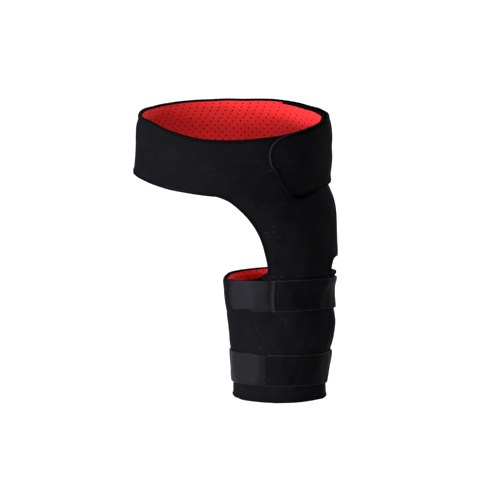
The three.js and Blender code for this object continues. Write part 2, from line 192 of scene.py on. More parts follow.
HIP = [
    {"row": 0, "frontZ": -63.8, "front": HIP_START, "backZ": -43.6, "back": 55},
    {"row": 1, "frontZ": -66, "front": -96.6, "backZ": -52, "back": 51.6},
    {"row": 2, "frontZ": -72, "front": -93.4, "backZ": -62, "back": 47.4},
    {"row": 3, "frontZ": -82, "front": -91.8, "backZ": -76, "back": 41.4},
    {"row": 4, "frontZ": -102, "front": -90.8, "backZ": -96, "back": 33.4},
    {"row": 5, "frontZ": -124, "front": -91, "backZ": -120, "back": 25},
    {"row": 6, "frontZ": -145, "front": -92.8, "backZ": -144, "back": 16.6},
    {"row": 7, "frontZ": -160, "front": -94.4, "backZ": -162, "back": 9.4},
    {"row": 8, "frontZ": -170, "front": -95.4, "backZ": -177, "back": 3.6},
    {"row": 9, "frontZ": -175, "front": -95.9, "backZ": -187, "back": 0.6},
    {"row": 10, "frontZ": -181, "front": -96.5, "backZ": -185.4, "back": -8.5},
    {"row": 11, "frontZ": -187, "front": -97.2, "backZ": -184.6, "back": -17},
    {"row": 12, "frontZ": -193.6, "front": -98.2, "backZ": -187.4, "back": -23.2},
    {"row": 13, "frontZ": -201, "front": -100.4, "backZ": -197, "back": -26.4},
    {"row": 14, "frontZ": -208.6, "front": WRAP_SEAM_FROM, "backZ": -210.4, "back": WRAP_SEAM_TO},
    {"row": 15, "frontZ": -222, "front": WRAP_SEAM_FROM, "backZ": -222, "back": WRAP_SEAM_TO},
    {"row": 16, "frontZ": WRAP_SEAM_Z, "front": WRAP_SEAM_FROM, "backZ": WRAP_SEAM_Z, "back": WRAP_SEAM_TO},
]

THIGH_TOP = [
    {"azimuth": -28, "z": -212.4},
    {"azimuth": 0, "z": -214.8},
    {"azimuth": 30, "z": -218.4},
    {"azimuth": 70, "z": -223.6},
    {"azimuth": 110, "z": -225.6},
    {"azimuth": 150, "z": -225.6},
    {"azimuth": 181, "z": -228},
    {"azimuth": 208, "z": -221.6},
    {"azimuth": 226, "z": -219.2},
    {"azimuth": 242, "z": -215.2},
    {"azimuth": 252, "z": -210.6},
]

HEM = [
    {"azimuth": -180, "z": -427},
    {"azimuth": -130, "z": -425},
    {"azimuth": -90, "z": -424.4},
    {"azimuth": -50, "z": -425},
    {"azimuth": 0, "z": -427.8},
    {"azimuth": 90, "z": -429.4},
]


class SmoothTable:
    """A short table read as smooth curves, one for each of its columns."""

    def __init__(self, rows: Sequence[Row], key: str, period: float = 0.0) -> None:
        """Sorts the rows by the key column.

        Args:
            rows: The table, a dict for each row.
            key: The column that the others are looked up by.
            period: The turn after which the table repeats, or 0.
        """
        ordered = sorted(rows, key=lambda row: row[key])
        turns = (-period, 0.0, period) if period else (0.0,)
        self.at = np.array([row[key] + turn for turn in turns for row in ordered], float)
        self.columns = {
            name: np.array([row[name] for _ in turns for row in ordered], float)
            for name in ordered[0] if name != key
        }

    def read(self, column: str, where: np.ndarray | float) -> np.ndarray:
        """The column's value along its smooth curve.

        Args:
            column: The column's name.
            where: Places in the key column.

        Returns:
            A value for each place.
        """
        stops, values = self.at, self.columns[column]
        count = len(stops)
        before = np.maximum(np.arange(count) - 1, 0)
        after = np.minimum(np.arange(count) + 1, count - 1)
        slopes = (values[after] - values[before]) / (stops[after] - stops[before])
        x = np.clip(np.asarray(where, float), stops[0], stops[-1])
        i = np.clip(np.searchsorted(stops, x, side="left") - 1, 0, count - 2)
        span = stops[i + 1] - stops[i]
        t = (x - stops[i]) / span
        keep = (1 + 2 * t) * (1 - t) ** 2
        reach = t * t * (3 - 2 * t)
        leave = t * (1 - t) ** 2 * span
        arrive = t * t * (t - 1) * span
        return keep * values[i] + leave * slopes[i] + reach * values[i + 1] + arrive * slopes[i + 1]


def smoothstep(x: np.ndarray, low: float, high: float) -> np.ndarray:
    """A soft step from 0 at low to 1 at high."""
    t = np.clip((x - low) / (high - low), 0, 1)
    return t * t * (3 - 2 * t)


def level(out: float) -> Field:
    """A face that is everywhere as far out from the form.

    Args:
        out: Millimetres out.

    Returns:
        The face.
    """
    def face(azimuth: np.ndarray, z: np.ndarray) -> np.ndarray:
        """The same distance at each place."""
        return np.full(np.shape(azimuth), out, float)

    return face


def back_inside(azimuth: np.ndarray, z: np.ndarray) -> np.ndarray:
    """The inside of the back of the belt, which lifts off the form to go over the front panel."""
    over = 1 - smoothstep(azimuth, FRONT_END + 5, FRONT_END + 30)
    return -WALL + over * (FLAP_LIFT + WALL) + 0 * z


@dataclass(frozen=True)
class StrapPattern:
    """One strap's run round the thigh: its middle in front, and how far that sinks towards the back.

    The welt is the turned end that the strap and the tab are joined by, in degrees from where they meet.
    """

    name: str
    middle: float
    rise: float
    high: float
    width: float
    lift: float
    tab: float
    end: float
    welt: tuple[float, float]
    pucker: float
    cut_back: float = 0.0
    cut_from: float = 0.0

    def centre(self, azimuth: np.ndarray) -> np.ndarray:
        """The height of the strap's middle at each azimuth."""
        return self.middle + self.rise * np.cos(np.radians(azimuth - self.high))


UPPER = StrapPattern(
    "upper", middle=-251.5, rise=13, high=-80, width=54, lift=2.0, tab=-98, end=-148,
    welt=(0.6, 4.6), pucker=0.12, cut_back=4.8, cut_from=-119,
)
LOWER = StrapPattern(
    "lower", middle=-376, rise=7.6, high=-98, width=55, lift=1.0, tab=-106, end=-194,
    welt=(-4.8, -0.3), pucker=0.34,
)


@dataclass(frozen=True)
class Ripple:
    """A slow wave of the cloth: its height, and how often it repeats round and up."""

    height: float
    round_period: float
    up_period: float
    phase: float


@dataclass(frozen=True)
class BodyForm:
    """The worn shape that every layer follows, with the cloth's slow waves and the straps' squeeze."""

    sections: SmoothTable
    ripples: tuple[Ripple, ...] = (
        Ripple(0.55, 61, 170, 0.4),
        Ripple(0.42, 37, -118, 1.9),
        Ripple(0.30, 23, 83, 3.1),
        Ripple(0.22, -17, 61, 4.6),
    )
    squeeze: float = 1.3
    squeeze_edge: float = 11.0

    def bare(self, azimuth: np.ndarray, z: np.ndarray) -> np.ndarray:
        """Points of the plain ovals, in millimetres.

        Args:
            azimuth: Degrees round the body.
            z: Heights.

        Returns:
            An array of points, one for each pair.
        """
        azimuth, z = np.broadcast_arrays(np.asarray(azimuth, float), np.asarray(z, float))
        angle = np.radians(azimuth)
        left, right, front, back = (self.sections.read(c, z) for c in ("left", "right", "front", "back"))
        x = (left + right) / 2 + (right - left) / 2 * np.cos(angle)
        y = (front + back) / 2 + (back - front) / 2 * np.sin(angle)
        return np.stack([x, y, z], axis=-1)

    def outward(self, azimuth: np.ndarray, z: np.ndarray) -> np.ndarray:
        """The direction out of the body at each place.

        Args:
            azimuth: Degrees round the body.
            z: Heights.

        Returns:
            Unit vectors.
        """
        around = self.bare(azimuth + 0.5, z) - self.bare(azimuth - 0.5, z)
        up = self.bare(azimuth, z + 1.0) - self.bare(azimuth, z - 1.0)
        out = np.cross(around, up)
        return out / np.linalg.norm(out, axis=-1, keepdims=True)

    def relief(self, azimuth: np.ndarray, z: np.ndarray) -> np.ndarray:
        """How far the worn cloth stands off the plain ovals.

        Args:
            azimuth: Degrees round the body.
            z: Heights.

        Returns:
            Millimetres for each place.
        """
        total = np.zeros(np.broadcast(azimuth, z).shape)
        for wave in self.ripples:
            total = total + wave.height * np.sin(
                2 * np.pi * (azimuth / wave.round_period + z / wave.up_period) + wave.phase
            )
        for strap in (UPPER, LOWER):
            reach = np.abs(z - strap.centre(azimuth)) - strap.width / 2
            total = total - self.squeeze * (1 - smoothstep(reach, -2.0, self.squeeze_edge))
        return total

    def place(self, azimuth: np.ndarray, z: np.ndarray, out: np.ndarray | float) -> np.ndarray:
        """Points that stand some way out from the worn form, in metres.

        Args:
            azimuth: Degrees round the body.
            z: Heights in millimetres.
            out: Millimetres out from the form.

        Returns:
            An array of points in metres.
        """
        azimuth, z = np.broadcast_arrays(np.asarray(azimuth, float), np.asarray(z, float))
        stand = (self.relief(azimuth, z) + out)[..., None]
        return (self.bare(azimuth, z) + self.outward(azimuth, z) * stand) * MM

    def slide(self, azimuth: np.ndarray, z: np.ndarray, direction: np.ndarray, distance: float) -> tuple:
        """Places that are some way along the form from others.

        Args:
            azimuth: Degrees round the body.
            z: Heights.
            direction: A unit vector along the form at each place.
            distance: Millimetres to go.

        Returns:
            The new azimuths and heights.
        """
        around = self.bare(azimuth + 0.5, z) - self.bare(azimuth - 0.5, z)
        up = self.bare(azimuth, z + 0.5) - self.bare(azimuth, z - 0.5)
        rr, ru, uu = (np.sum(a * b, axis=-1) for a, b in ((around, around), (around, up), (up, up)))
        dr = np.sum(around * direction, axis=-1) * distance
        du = np.sum(up * direction, axis=-1) * distance
        scale = rr * uu - ru * ru
        return azimuth + (dr * uu - du * ru) / scale, z + (du * rr - dr * ru) / scale

    def across(self, azimuth: np.ndarray, z: np.ndarray, start: float, steps: int = 48) -> np.ndarray:
        """The way round the form, as millimetres of cloth.

        Args:
            azimuth: Degrees round the body.
            z: Heights.
            start: The azimuth that it is measured from.
            steps: The steps that it is added up in.

        Returns:
            A length for each place.
        """
        azimuth, z = np.broadcast_arrays(np.asarray(azimuth, float), np.asarray(z, float))
        left, right, front, back = (self.sections.read(c, z) for c in ("left", "right", "front", "back"))
        total = np.zeros(azimuth.shape)
        turn = np.radians(azimuth - start) / steps
        for k in range(steps):
            angle = np.radians(start) + turn * (k + 0.5)
            total += np.hypot((right - left) / 2 * np.sin(angle), (back - front) / 2 * np.cos(angle)) * turn
        return total


SHAPE = BodyForm(SmoothTable(FORM, "z"))


@dataclass
class Grid:
    """Places in rows, going up or down, with the flat pattern's own coordinates."""

    azimuth: np.ndarray
    z: np.ndarray
    flat: np.ndarray | None = None

    @classmethod
    def between(cls, columns: np.ndarray, low: np.ndarray | float, high: np.ndarray | float,
                rows: int) -> "Grid":
        """Even rows from a lower to an upper edge.

        Args:
            columns: The azimuth of each column.
            low: The lower edge's height at each.
            high: The upper edge's.
            rows: The rows of cells between them.

        Returns:
            The grid.
        """
        share = np.linspace(0, 1, rows + 1)[:, None]
        azimuth = np.broadcast_to(columns, (rows + 1, len(columns))).copy()
        return cls(azimuth, low + (high - low) * share)

    def flattened(self, start: float, ring: bool = False) -> "Grid":
        """Lays the places out flat.

        Args:
            start: The azimuth where the flat pattern's width is zero.
            ring: Whether a full turn is as wide at each height.

        Returns:
            The same grid, with its flat coordinates in metres.
        """
        width = SHAPE.across(self.azimuth, self.z, start)
        if ring:
            turn = SHAPE.across(np.full(self.z.shape, start + 360.0), self.z, start)
            width = width * (np.mean(turn) / turn)
        self.flat = np.stack([width, self.z], axis=-1) * MM
        return self


@dataclass
class Cells:
    """The quads of several grids, joined where their places are the same."""

    azimuth: np.ndarray
    z: np.ndarray
    quads: np.ndarray
    flats: np.ndarray

    @classmethod
    def join(cls, grids: Sequence[Grid]) -> "Cells":
        """Joins the grids.

        Args:
            grids: The grids, rows going up and columns going round.

        Returns:
            Their places, each once, and their quads, facing out.
        """
        azimuth = np.concatenate([grid.azimuth.ravel() for grid in grids])
        z = np.concatenate([grid.z.ravel() for grid in grids])
        flat = np.concatenate([grid.flat.reshape(-1, 2) for grid in grids])
        keys = np.stack([np.round(azimuth % 360 * 1000) % 360000, np.round(z * 1000)], axis=-1)
        _, first, where = np.unique(keys, axis=0, return_index=True, return_inverse=True)
        quads, base = [], 0
        for grid in grids:
            rows, columns = grid.azimuth.shape
            i, j = np.meshgrid(np.arange(rows - 1), np.arange(columns - 1), indexing="ij")
            corner = (base + i * columns + j).ravel()
            quads.append(np.stack([corner, corner + 1, corner + columns + 1, corner + columns], axis=-1))
            base += rows * columns
        corners = np.concatenate(quads)
        return cls(azimuth[first], z[first], where.reshape(-1)[corners], flat[corners])

    def rim(self) -> tuple[np.ndarray, np.ndarray]:
        """The free edges: their two places, and the two flat places.

        Returns:
            The numbers of the places, and the flat places.
        """
        a, b = self.quads, np.roll(self.quads, -1, axis=1)
        size = len(self.z) + 1
        free = ~np.isin(a * size + b, (b * size + a).ravel())
        ends = np.stack([a[free], b[free]], axis=-1)
        return ends, np.stack([self.flats[free], np.roll(self.flats, -1, axis=1)[free]], axis=1)


def placed(name: str, data: bpy.types.ID) -> bpy.types.Object:
    """Puts an object with the given data in the scene.

    Args:
        name: The object's name.
        data: Its mesh, light or camera.

    Returns:
        The object.
    """
    made = bpy.data.objects.new(name, data)
    bpy.context.scene.collection.objects.link(made)
    return made


def mapped_mesh(name: str, points: np.ndarray, faces: Sequence, flats: np.ndarray) -> bpy.types.Mesh:
    """A mesh with the flat pattern as its UV map.

    Args:
        name: The mesh's name.
        points: Its points.
        faces: The points of each face.
        flats: The flat place of each corner of each face.

    Returns:
        The mesh.
    """
    mesh = bpy.data.meshes.new(name)
    mesh.from_pydata(points.tolist(), [], faces)
    layer = mesh.uv_layers.new(name="flat")
    layer.data.foreach_set("uv", flats.ravel())
    return mesh


def smoothed(name: str, mesh: bpy.types.Mesh, sharp: float) -> bpy.types.Object:
    """An object from a mesh, smooth but for the edges over an angle in degrees.

    Args:
        name: The object's name.
        mesh: Its mesh.
        sharp: The angle.

    Returns:
        The object.
    """
    mesh.shade_smooth()
    mesh.set_sharp_from_angle(angle=math.radians(sharp))
    return placed(name, mesh)


def surface_mesh(name: str, grids: Sequence[Grid], out: Field) -> bpy.types.Object:
    """An open surface over grids of places.

    Args:
        name: The object's name.
        grids: The grids.
        out: How far out each place stands.

    Returns:
        The object.
    """
    cells = Cells.join(grids)
    points = SHAPE.place(cells.azimuth, cells.z, out(cells.azimuth, cells.z))
    return smoothed(name, mapped_mesh(name, points, cells.quads.tolist(), cells.flats), SHARP_FACE)


def wall_mesh(name: str, grids: Sequence[Grid], inner: Field, outer: Field) -> bpy.types.Object:
    """A closed wall between an inner and an outer face over grids of places.

    Args:
        name: The object's name.
        grids: The grids.
        inner: How far out its inner face stands.
        outer: How far out its outer face stands.

    Returns:
        The object.
    """
    cells = Cells.join(grids)
    count = len(cells.z)
    points = [SHAPE.place(cells.azimuth, cells.z, face(cells.azimuth, cells.z)) for face in (outer, inner)]
    ends, ends_flat = cells.rim()
    a, b = ends[:, 0], ends[:, 1]
    sides = np.stack([b, a, a + count, b + count], -1)
    faces = np.concatenate([cells.quads, cells.quads[:, ::-1] + count, sides])
    flats = np.concatenate([cells.flats, cells.flats[:, ::-1], ends_flat[:, [1, 0, 0, 1]]])
    return smoothed(name, mapped_mesh(name, np.concatenate(points), faces.tolist(), flats), SHARP_WALL)


def swept_mesh(name: str, rings: np.ndarray, closed: bool, tone: np.ndarray) -> bpy.types.Object:
    """A solid through closed rings of points.

    Args:
        name: The object's name.
        rings: Points in metres, by ring, by place on the ring.
        closed: Whether the last ring joins the first.
        tone: How much lighter each point is than its finish, as a share of it.

    Returns:
        The object, with a UV map of metres along and round.
    """
    count, sides = rings.shape[:2]
    last = count if closed else count - 1
    faces, flats = [], []
    along = np.concatenate([[0], np.cumsum(np.linalg.norm(np.diff(rings.mean(1), axis=0), axis=1))])
    step = np.linalg.norm(rings.mean(1)[-1] - rings.mean(1)[0])
    along = np.append(along, along[-1] + step)
    ring = rings[count // 2]
    around = np.concatenate([[0], np.cumsum(np.linalg.norm(np.roll(ring, -1, axis=0) - ring, axis=1))])
    for i in range(last):
        n = (i + 1) % count
        for k in range(sides):
            m = (k + 1) % sides
            faces.append((i * sides + k, i * sides + m, n * sides + m, n * sides + k))
            flats.extend([(along[i], around[k]), (along[i], around[k + 1]),
                          (along[i + 1], around[k + 1]), (along[i + 1], around[k])])
    if not closed:
        faces.append(tuple(range(sides))[::-1])
        faces.append(tuple((count - 1) * sides + k for k in range(sides)))
        flats.extend([(0.0, around[k]) for k in range(sides)][::-1])
        flats.extend([(along[count - 1], around[k]) for k in range(sides)])
    mesh = mapped_mesh(name, rings.reshape(-1, 3), faces, np.array(flats, float))
    mask = mesh.attributes.new("tone", "FLOAT", "POINT")
    mask.data.foreach_set("value", np.broadcast_to(tone, (count, sides)).astype(float).ravel())
    work = bmesh.new()
    work.from_mesh(mesh)
    bmesh.ops.recalc_face_normals(work, faces=work.faces)
    work.to_mesh(mesh)
    work.free()
    return smoothed(name, mesh, SHARP_BAND)


def baked(piece: bpy.types.Object, name: str) -> bpy.types.Object:
    """Turns a piece with its modifier into a plain mesh.

    Args:
        piece: The object to bake, which is removed.
        name: The new object's name.

    Returns:
        The plain object.
    """
    graph = bpy.context.evaluated_depsgraph_get()
    mesh = bpy.data.meshes.new_from_object(piece.evaluated_get(graph), depsgraph=graph)
    bpy.data.objects.remove(piece)
    mesh.name = name
    return placed(name, mesh)


class Nodes:
    """A short way to fill a node tree."""

    def __init__(self, tree: bpy.types.NodeTree) -> None:
        """Keeps the tree."""
        self.tree = tree

    def add(self, kind: str, inputs: dict | None = None, **settings: object) -> bpy.types.Node:
        """Adds a node.

        Args:
            kind: The node's type.
            inputs: What each input takes: another node's output, or a value.
            settings: The node's own properties.

        Returns:
            The node.
        """
        node = self.tree.nodes.new(kind)
        for key, value in settings.items():
            setattr(node, key, value)
        for key, value in (inputs or {}).items():
            if isinstance(value, bpy.types.NodeSocket):
                self.tree.links.new(value, node.inputs[key])
            else:
                node.inputs[key].default_value = value
        return node

    def math(self, operation: str, *values: object) -> bpy.types.NodeSocket:
        """The result of a sum on numbers or outputs."""
        return self.add("ShaderNodeMath", dict(enumerate(values)), operation=operation).outputs[0]

    def noise(self, place: object, scale: object, detail: float, rough: float,
              distortion: float = 0.0) -> bpy.types.NodeSocket:
        """Cloudy noise.

        Args:
            place: Where it is read.
            scale: How fine it is.
            detail: How many finer layers it has.
            rough: How strong they are.
            distortion: How far it is twisted.

        Returns:
            Its value, from 0 to 1.
        """
        return self.add("ShaderNodeTexNoise", {
            "Vector": place, "Scale": scale, "Detail": detail, "Roughness": rough, "Distortion": distortion,
        }).outputs[0]

    def ramp(self, value: object, empty: float, full: float) -> bpy.types.NodeSocket:
        """A straight ramp from 0 where the value is empty to 1 where it is full."""
        ramp = self.add("ShaderNodeMapRange", {"Value": value, "From Min": empty, "From Max": full})
        return ramp.outputs[0]

    def put(self, node: bpy.types.Node, **outputs: bpy.types.NodeSocket) -> None:
        """Links outputs to a node's inputs by their names."""
        for name, output in outputs.items():
            self.tree.links.new(output, node.inputs[name])


def socket(tree: bpy.types.NodeTree, name: str, kind: str, put: bool = False, value: object = None) -> str:
    """Adds a named input or output to a tree.

    Args:
        tree: The tree.
        name: The socket's name.
        kind: Its type, without the NodeSocket in front.
        put: Whether it is an output.
        value: Its value where nothing else is set.

    Returns:
        The socket's identifier.
    """
    way = "OUTPUT" if put else "INPUT"
    made = tree.interface.new_socket(name=name, in_out=way, socket_type="NodeSocket" + kind)
    if value is not None:
        made.default_value = value
    return made.identifier


class ToolTree:
    """A Geometry Nodes tree with named inputs, and its use on a piece."""

    def __init__(self, name: str) -> None:
        """Makes an empty tree with a geometry going through it.

        Args:
            name: The tree's name.
        """
        self.tree = bpy.data.node_groups.new(name, "GeometryNodeTree")
        self.inputs: dict[str, str] = {}
        socket(self.tree, "Geometry", "Geometry")
        socket(self.tree, "Geometry", "Geometry", put=True)
        self.nodes = Nodes(self.tree)

    def take(self, name: str, kind: str, value: object = None) -> None:
        """Adds a named input."""
        self.inputs[name] = socket(self.tree, name, kind, value=value)

    def start(self) -> bpy.types.Node:
        """The node that the named inputs come from."""
        return self.nodes.add("NodeGroupInput")

    def attribute(self, name: str, kind: str = "FLOAT_VECTOR") -> bpy.types.NodeSocket:
        """A named attribute of the geometry."""
        return self.nodes.add("GeometryNodeInputNamedAttribute", {"Name": name}, data_type=kind).outputs[0]

    def stored(self, geometry: object, name: str, value: object, kind: str) -> bpy.types.NodeSocket:
        """The geometry with a named value kept on its points.

        Args:
            geometry: The geometry.
            name: The value's name.
            value: The value.
            kind: Its type.

        Returns:
            The geometry with the value.
        """
        return self.nodes.add("GeometryNodeStoreNamedAttribute", {
            "Geometry": geometry, "Name": name, "Value": value,
        }, data_type=kind, domain="POINT").outputs[0]

    def finish(self, geometry: bpy.types.NodeSocket, material: bpy.types.NodeSocket) -> None:
        """Ends the tree in real geometry with its material.

        Args:
            geometry: What the tree has made.
            material: Its material.
        """
        real = self.nodes.add("GeometryNodeRealizeInstances", {"Geometry": geometry}).outputs[0]
        dressed = self.nodes.add("GeometryNodeSetMaterial", {"Geometry": real, "Material": material})
        self.nodes.add("NodeGroupOutput", {0: dressed.outputs[0]})

    def run(self, piece: bpy.types.Object, name: str, **values: object) -> bpy.types.Object:
        """Runs the tree on a piece and bakes the result.

        Args:
            piece: The object that the tree works on, which is removed.
            name: The made piece's name.
            values: The named inputs, with a space in a name written as an underscore.

        Returns:
            The made piece, a plain mesh.
        """
        modifier = piece.modifiers.new("tool", "NODES")
        modifier.node_group = self.tree
        for key, value in values.items():
            modifier[self.inputs[key.replace("_", " ")]] = value
        return baked(piece, name)


class PerforationTool(ToolTree):
    """Cuts round holes in staggered rows through a lining, laid out on its flat pattern."""

    SIDES = 9

    def __init__(self) -> None:
        """Builds the tree."""
        super().__init__("perforation")
        self.take("Surface", "Object")
        self.take("Across", "Float", 0.013)
        self.take("Up", "Float", 0.0063)
        self.take("Columns", "Int", 10)
        self.take("Rows", "Int", 10)
        self.take("Corner", "Vector")
        self.take("Radius", "Float", 0.0009)
        self.take("Depth", "Float", 0.004)
        self.take("Material", "Material")
        nodes, start = self.nodes, self.start()
        columns, rows = start.outputs["Columns"], start.outputs["Rows"]
        cells = nodes.add("GeometryNodeMeshGrid", {
            "Size X": 1.0, "Size Y": 1.0, "Vertices X": columns, "Vertices Y": rows,
        })
        index = nodes.add("GeometryNodeInputIndex").outputs[0]
        column = nodes.math("FLOOR", nodes.math("DIVIDE", index, rows))
        row = nodes.math("SUBTRACT", index, nodes.math("MULTIPLY", column, rows))
        shift = nodes.math("MULTIPLY", nodes.math("MODULO", row, 2.0), 0.5)
        x = nodes.math("MULTIPLY", nodes.math("ADD", column, shift), start.outputs["Across"])
        y = nodes.math("MULTIPLY", row, start.outputs["Up"])
        lattice = nodes.add("ShaderNodeCombineXYZ", {"X": x, "Y": y}).outputs[0]
        corner = start.outputs["Corner"]
        where = nodes.add("ShaderNodeVectorMath", {0: lattice, 1: corner}, operation="ADD").outputs[0]
        shown = nodes.add("GeometryNodeObjectInfo", {"Object": start.outputs["Surface"]})
        surface = shown.outputs["Geometry"]
        flat = self.attribute("flat")
        found = self.sampled(surface, flat, where, "GeometryNodeInputPosition")
        facing = self.sampled(surface, flat, where, "GeometryNodeInputNormal")
        held = self.stored(cells.outputs["Mesh"], "facing", facing.outputs["Value"], "FLOAT_VECTOR")
        checked = self.stored(held, "on_cloth", found.outputs["Is Valid"], "BOOLEAN")
        moved = nodes.add("GeometryNodeSetPosition", {
            "Geometry": checked, "Position": found.outputs["Value"],
        })
        punch = nodes.add("GeometryNodeMeshCylinder", {
            "Vertices": self.SIDES, "Radius": start.outputs["Radius"], "Depth": start.outputs["Depth"],
        })
        out = self.attribute("facing")
        turned = nodes.add("FunctionNodeAlignRotationToVector", {"Vector": out}, axis="Z")
        punches = nodes.add("GeometryNodeInstanceOnPoints", {
            "Points": moved.outputs[0], "Selection": self.attribute("on_cloth", "BOOLEAN"),
            "Instance": punch.outputs["Mesh"], "Rotation": turned.outputs[0],
        })
        real = nodes.add("GeometryNodeRealizeInstances", {"Geometry": punches.outputs[0]})
        cut = nodes.add("GeometryNodeMeshBoolean", {
            "Mesh 1": start.outputs["Geometry"], "Mesh 2": real.outputs[0],
        }, operation="DIFFERENCE", solver="MANIFOLD")
        self.finish(cut.outputs["Mesh"], start.outputs["Material"])

    def sampled(self, surface: object, flat: object, where: object, value: str) -> bpy.types.Node:
        """Reads a value of the surface by its flat pattern.

        Args:
            surface: The surface.
            flat: Its flat pattern.
            where: The place on the pattern.
            value: The type of the node that gives the value.

        Returns:
            The node that reads it.
        """
        read = self.nodes.add(value).outputs[0]
        return self.nodes.add("GeometryNodeSampleUVSurface", {
            "Mesh": surface, "Value": read, "UV Map": flat, "Sample UV": where,
        }, data_type="FLOAT_VECTOR")


class StitchTool(ToolTree):
    """Lays stitches end to end along a line, flat on the cloth."""

    def __init__(self) -> None:
        """Builds the tree."""
        super().__init__("stitching")
        self.take("Pitch", "Float", 0.0036)
        self.take("Length", "Float", 0.0027)
        self.take("Thick", "Float", 0.0006)
        self.take("Slant", "Float", 0.0)
        self.take("Material", "Material")
        nodes, start = self.nodes, self.start()
        line = nodes.add("GeometryNodeMeshToCurve", {"Mesh": start.outputs["Geometry"]})
        spaced = nodes.add("GeometryNodeResampleCurve", {
            "Curve": line.outputs[0], "Length": start.outputs["Pitch"],
        }, mode="LENGTH")
        bead = nodes.add("GeometryNodeMeshUVSphere", {"Segments": 6, "Rings": 4, "Radius": 0.5})
        size = nodes.add("ShaderNodeCombineXYZ", {
            "X": start.outputs["Length"], "Y": start.outputs["Thick"], "Z": start.outputs["Thick"],
        })
        tangent = nodes.add("GeometryNodeInputTangent").outputs[0]
        lying = nodes.add("FunctionNodeAxesToRotation", {
            "Primary Axis": self.attribute("facing"), "Secondary Axis": tangent,
        }, primary_axis="Z", secondary_axis="X")
        slant = nodes.add("ShaderNodeCombineXYZ", {"Z": start.outputs["Slant"]})
        turn = nodes.add("FunctionNodeEulerToRotation", {0: slant.outputs[0]})
        turned = nodes.add("FunctionNodeRotateRotation", {0: lying.outputs[0], 1: turn.outputs[0]},
                           rotation_space="LOCAL")
        laid = nodes.add("GeometryNodeInstanceOnPoints", {
            "Points": spaced.outputs[0], "Instance": bead.outputs["Mesh"],
            "Rotation": turned.outputs[0], "Scale": size.outputs[0],
        })
        self.finish(laid.outputs[0], start.outputs["Material"])


def effect_group(name: str, inputs: dict[str, float],
                 outputs: dict[str, str]) -> tuple[Nodes, bpy.types.Node, bpy.types.Node]:
    """An empty shader group with named number inputs.

    Args:
        name: The group's name.
        inputs: Each input's name and value.
        outputs: Each output's name and kind.

    Returns:
        The group's nodes, its input node and its output node.
    """
    tree = bpy.data.node_groups.new(name, "ShaderNodeTree")
    for key, value in inputs.items():
        socket(tree, key, "Float", value=value)
    for key, kind in outputs.items():
        socket(tree, key, kind, put=True)
    nodes = Nodes(tree)
    return nodes, nodes.add("NodeGroupInput"), nodes.add("NodeGroupOutput")


@dataclass(frozen=True)
class LintStroke:
    """One run of lint: how its noise is stretched, how fine it is, and the value where it starts."""

    stretch: tuple[float, float, float]
    scale: float
    least: float


LINT_STROKES = (
    LintStroke((1.0, 1.0, 2.8), 150.0, 0.655),
    LintStroke((2.8, 2.8, 1.0), 150.0, 0.665),
    LintStroke((1.0, 1.0, 1.0), 430.0, 0.68),
)


def nap_group() -> bpy.types.NodeTree:
    """The short loop nap on neoprene: fine grain, caught lint and slow patches.

    Returns:
        The group.
    """
    nodes, start, end = effect_group(
        "loop_nap", {"Grain": 900.0, "Specks": 0.5, "Patches": 26.0},
        {"Shade": "Float", "Fleck": "Float", "Height": "Float"},
    )
    place = nodes.add("ShaderNodeTexCoord").outputs["Object"]
    grain = nodes.noise(place, start.outputs["Grain"], 3.0, 0.65)
    patches = nodes.noise(place, start.outputs["Patches"], 4.0, 0.6)
    loops = nodes.add("ShaderNodeTexVoronoi", {"Vector": place, "Scale": 620.0, "Randomness": 1.0})
    lint = 0.0
    for stroke in LINT_STROKES:
        spread = nodes.add("ShaderNodeVectorMath", {0: place, 1: stroke.stretch}, operation="MULTIPLY")
        cloud = nodes.noise(spread.outputs[0], stroke.scale, 1.5, 0.6, distortion=0.8)
        lint = nodes.math("MAXIMUM", lint, nodes.ramp(cloud, stroke.least, stroke.least + LINT_SOFTNESS))
    where = nodes.ramp(patches, 0.36, 0.58)
    fleck = nodes.math("MULTIPLY", nodes.math("MULTIPLY", lint, where), start.outputs["Specks"])
    slow = nodes.math("MULTIPLY", nodes.math("SUBTRACT", patches, 0.5), 0.5)
    fine = nodes.math("MULTIPLY", nodes.math("SUBTRACT", grain, 0.5), 0.7)
    shade = nodes.math("ADD", nodes.math("ADD", slow, fine), 1.0)
    high = nodes.math("MULTIPLY", loops.outputs["Distance"], 0.7)
    high = nodes.math("ADD", high, nodes.math("MULTIPLY", grain, 0.6))
    nodes.put(end, Shade=shade, Fleck=fleck, Height=high)
    return nodes.tree


def weave_group() -> bpy.types.NodeTree:
    """Ribs along and across a tape or a knit, on the piece's own flat pattern.

    Returns:
        The group.
    """
    nodes, start, end = effect_group(
        "weave", {"Along": 1200.0, "Across": 1200.0, "Lean": 0.0},
        {"Shade": "Float", "Height": "Float"},
    )
    flat = nodes.add("ShaderNodeUVMap", uv_map="flat").outputs[0]
    split = nodes.add("ShaderNodeSeparateXYZ", {0: flat})
    leaning = nodes.math("MULTIPLY_ADD", split.outputs["Y"], start.outputs["Lean"], split.outputs["X"])
    warp = nodes.math("SINE", nodes.math("MULTIPLY", leaning, start.outputs["Along"]))
    weft = nodes.math("SINE", nodes.math("MULTIPLY", split.outputs["Y"], start.outputs["Across"]))
    both = nodes.math("ADD", nodes.math("MULTIPLY", warp, 0.25), nodes.math("MULTIPLY", weft, 0.25))
    high = nodes.math("ADD", both, 0.5)
    shade = nodes.math("ADD", nodes.math("MULTIPLY", high, 0.3), 0.85)
    nodes.put(end, Shade=shade, Height=high)
    return nodes.tree


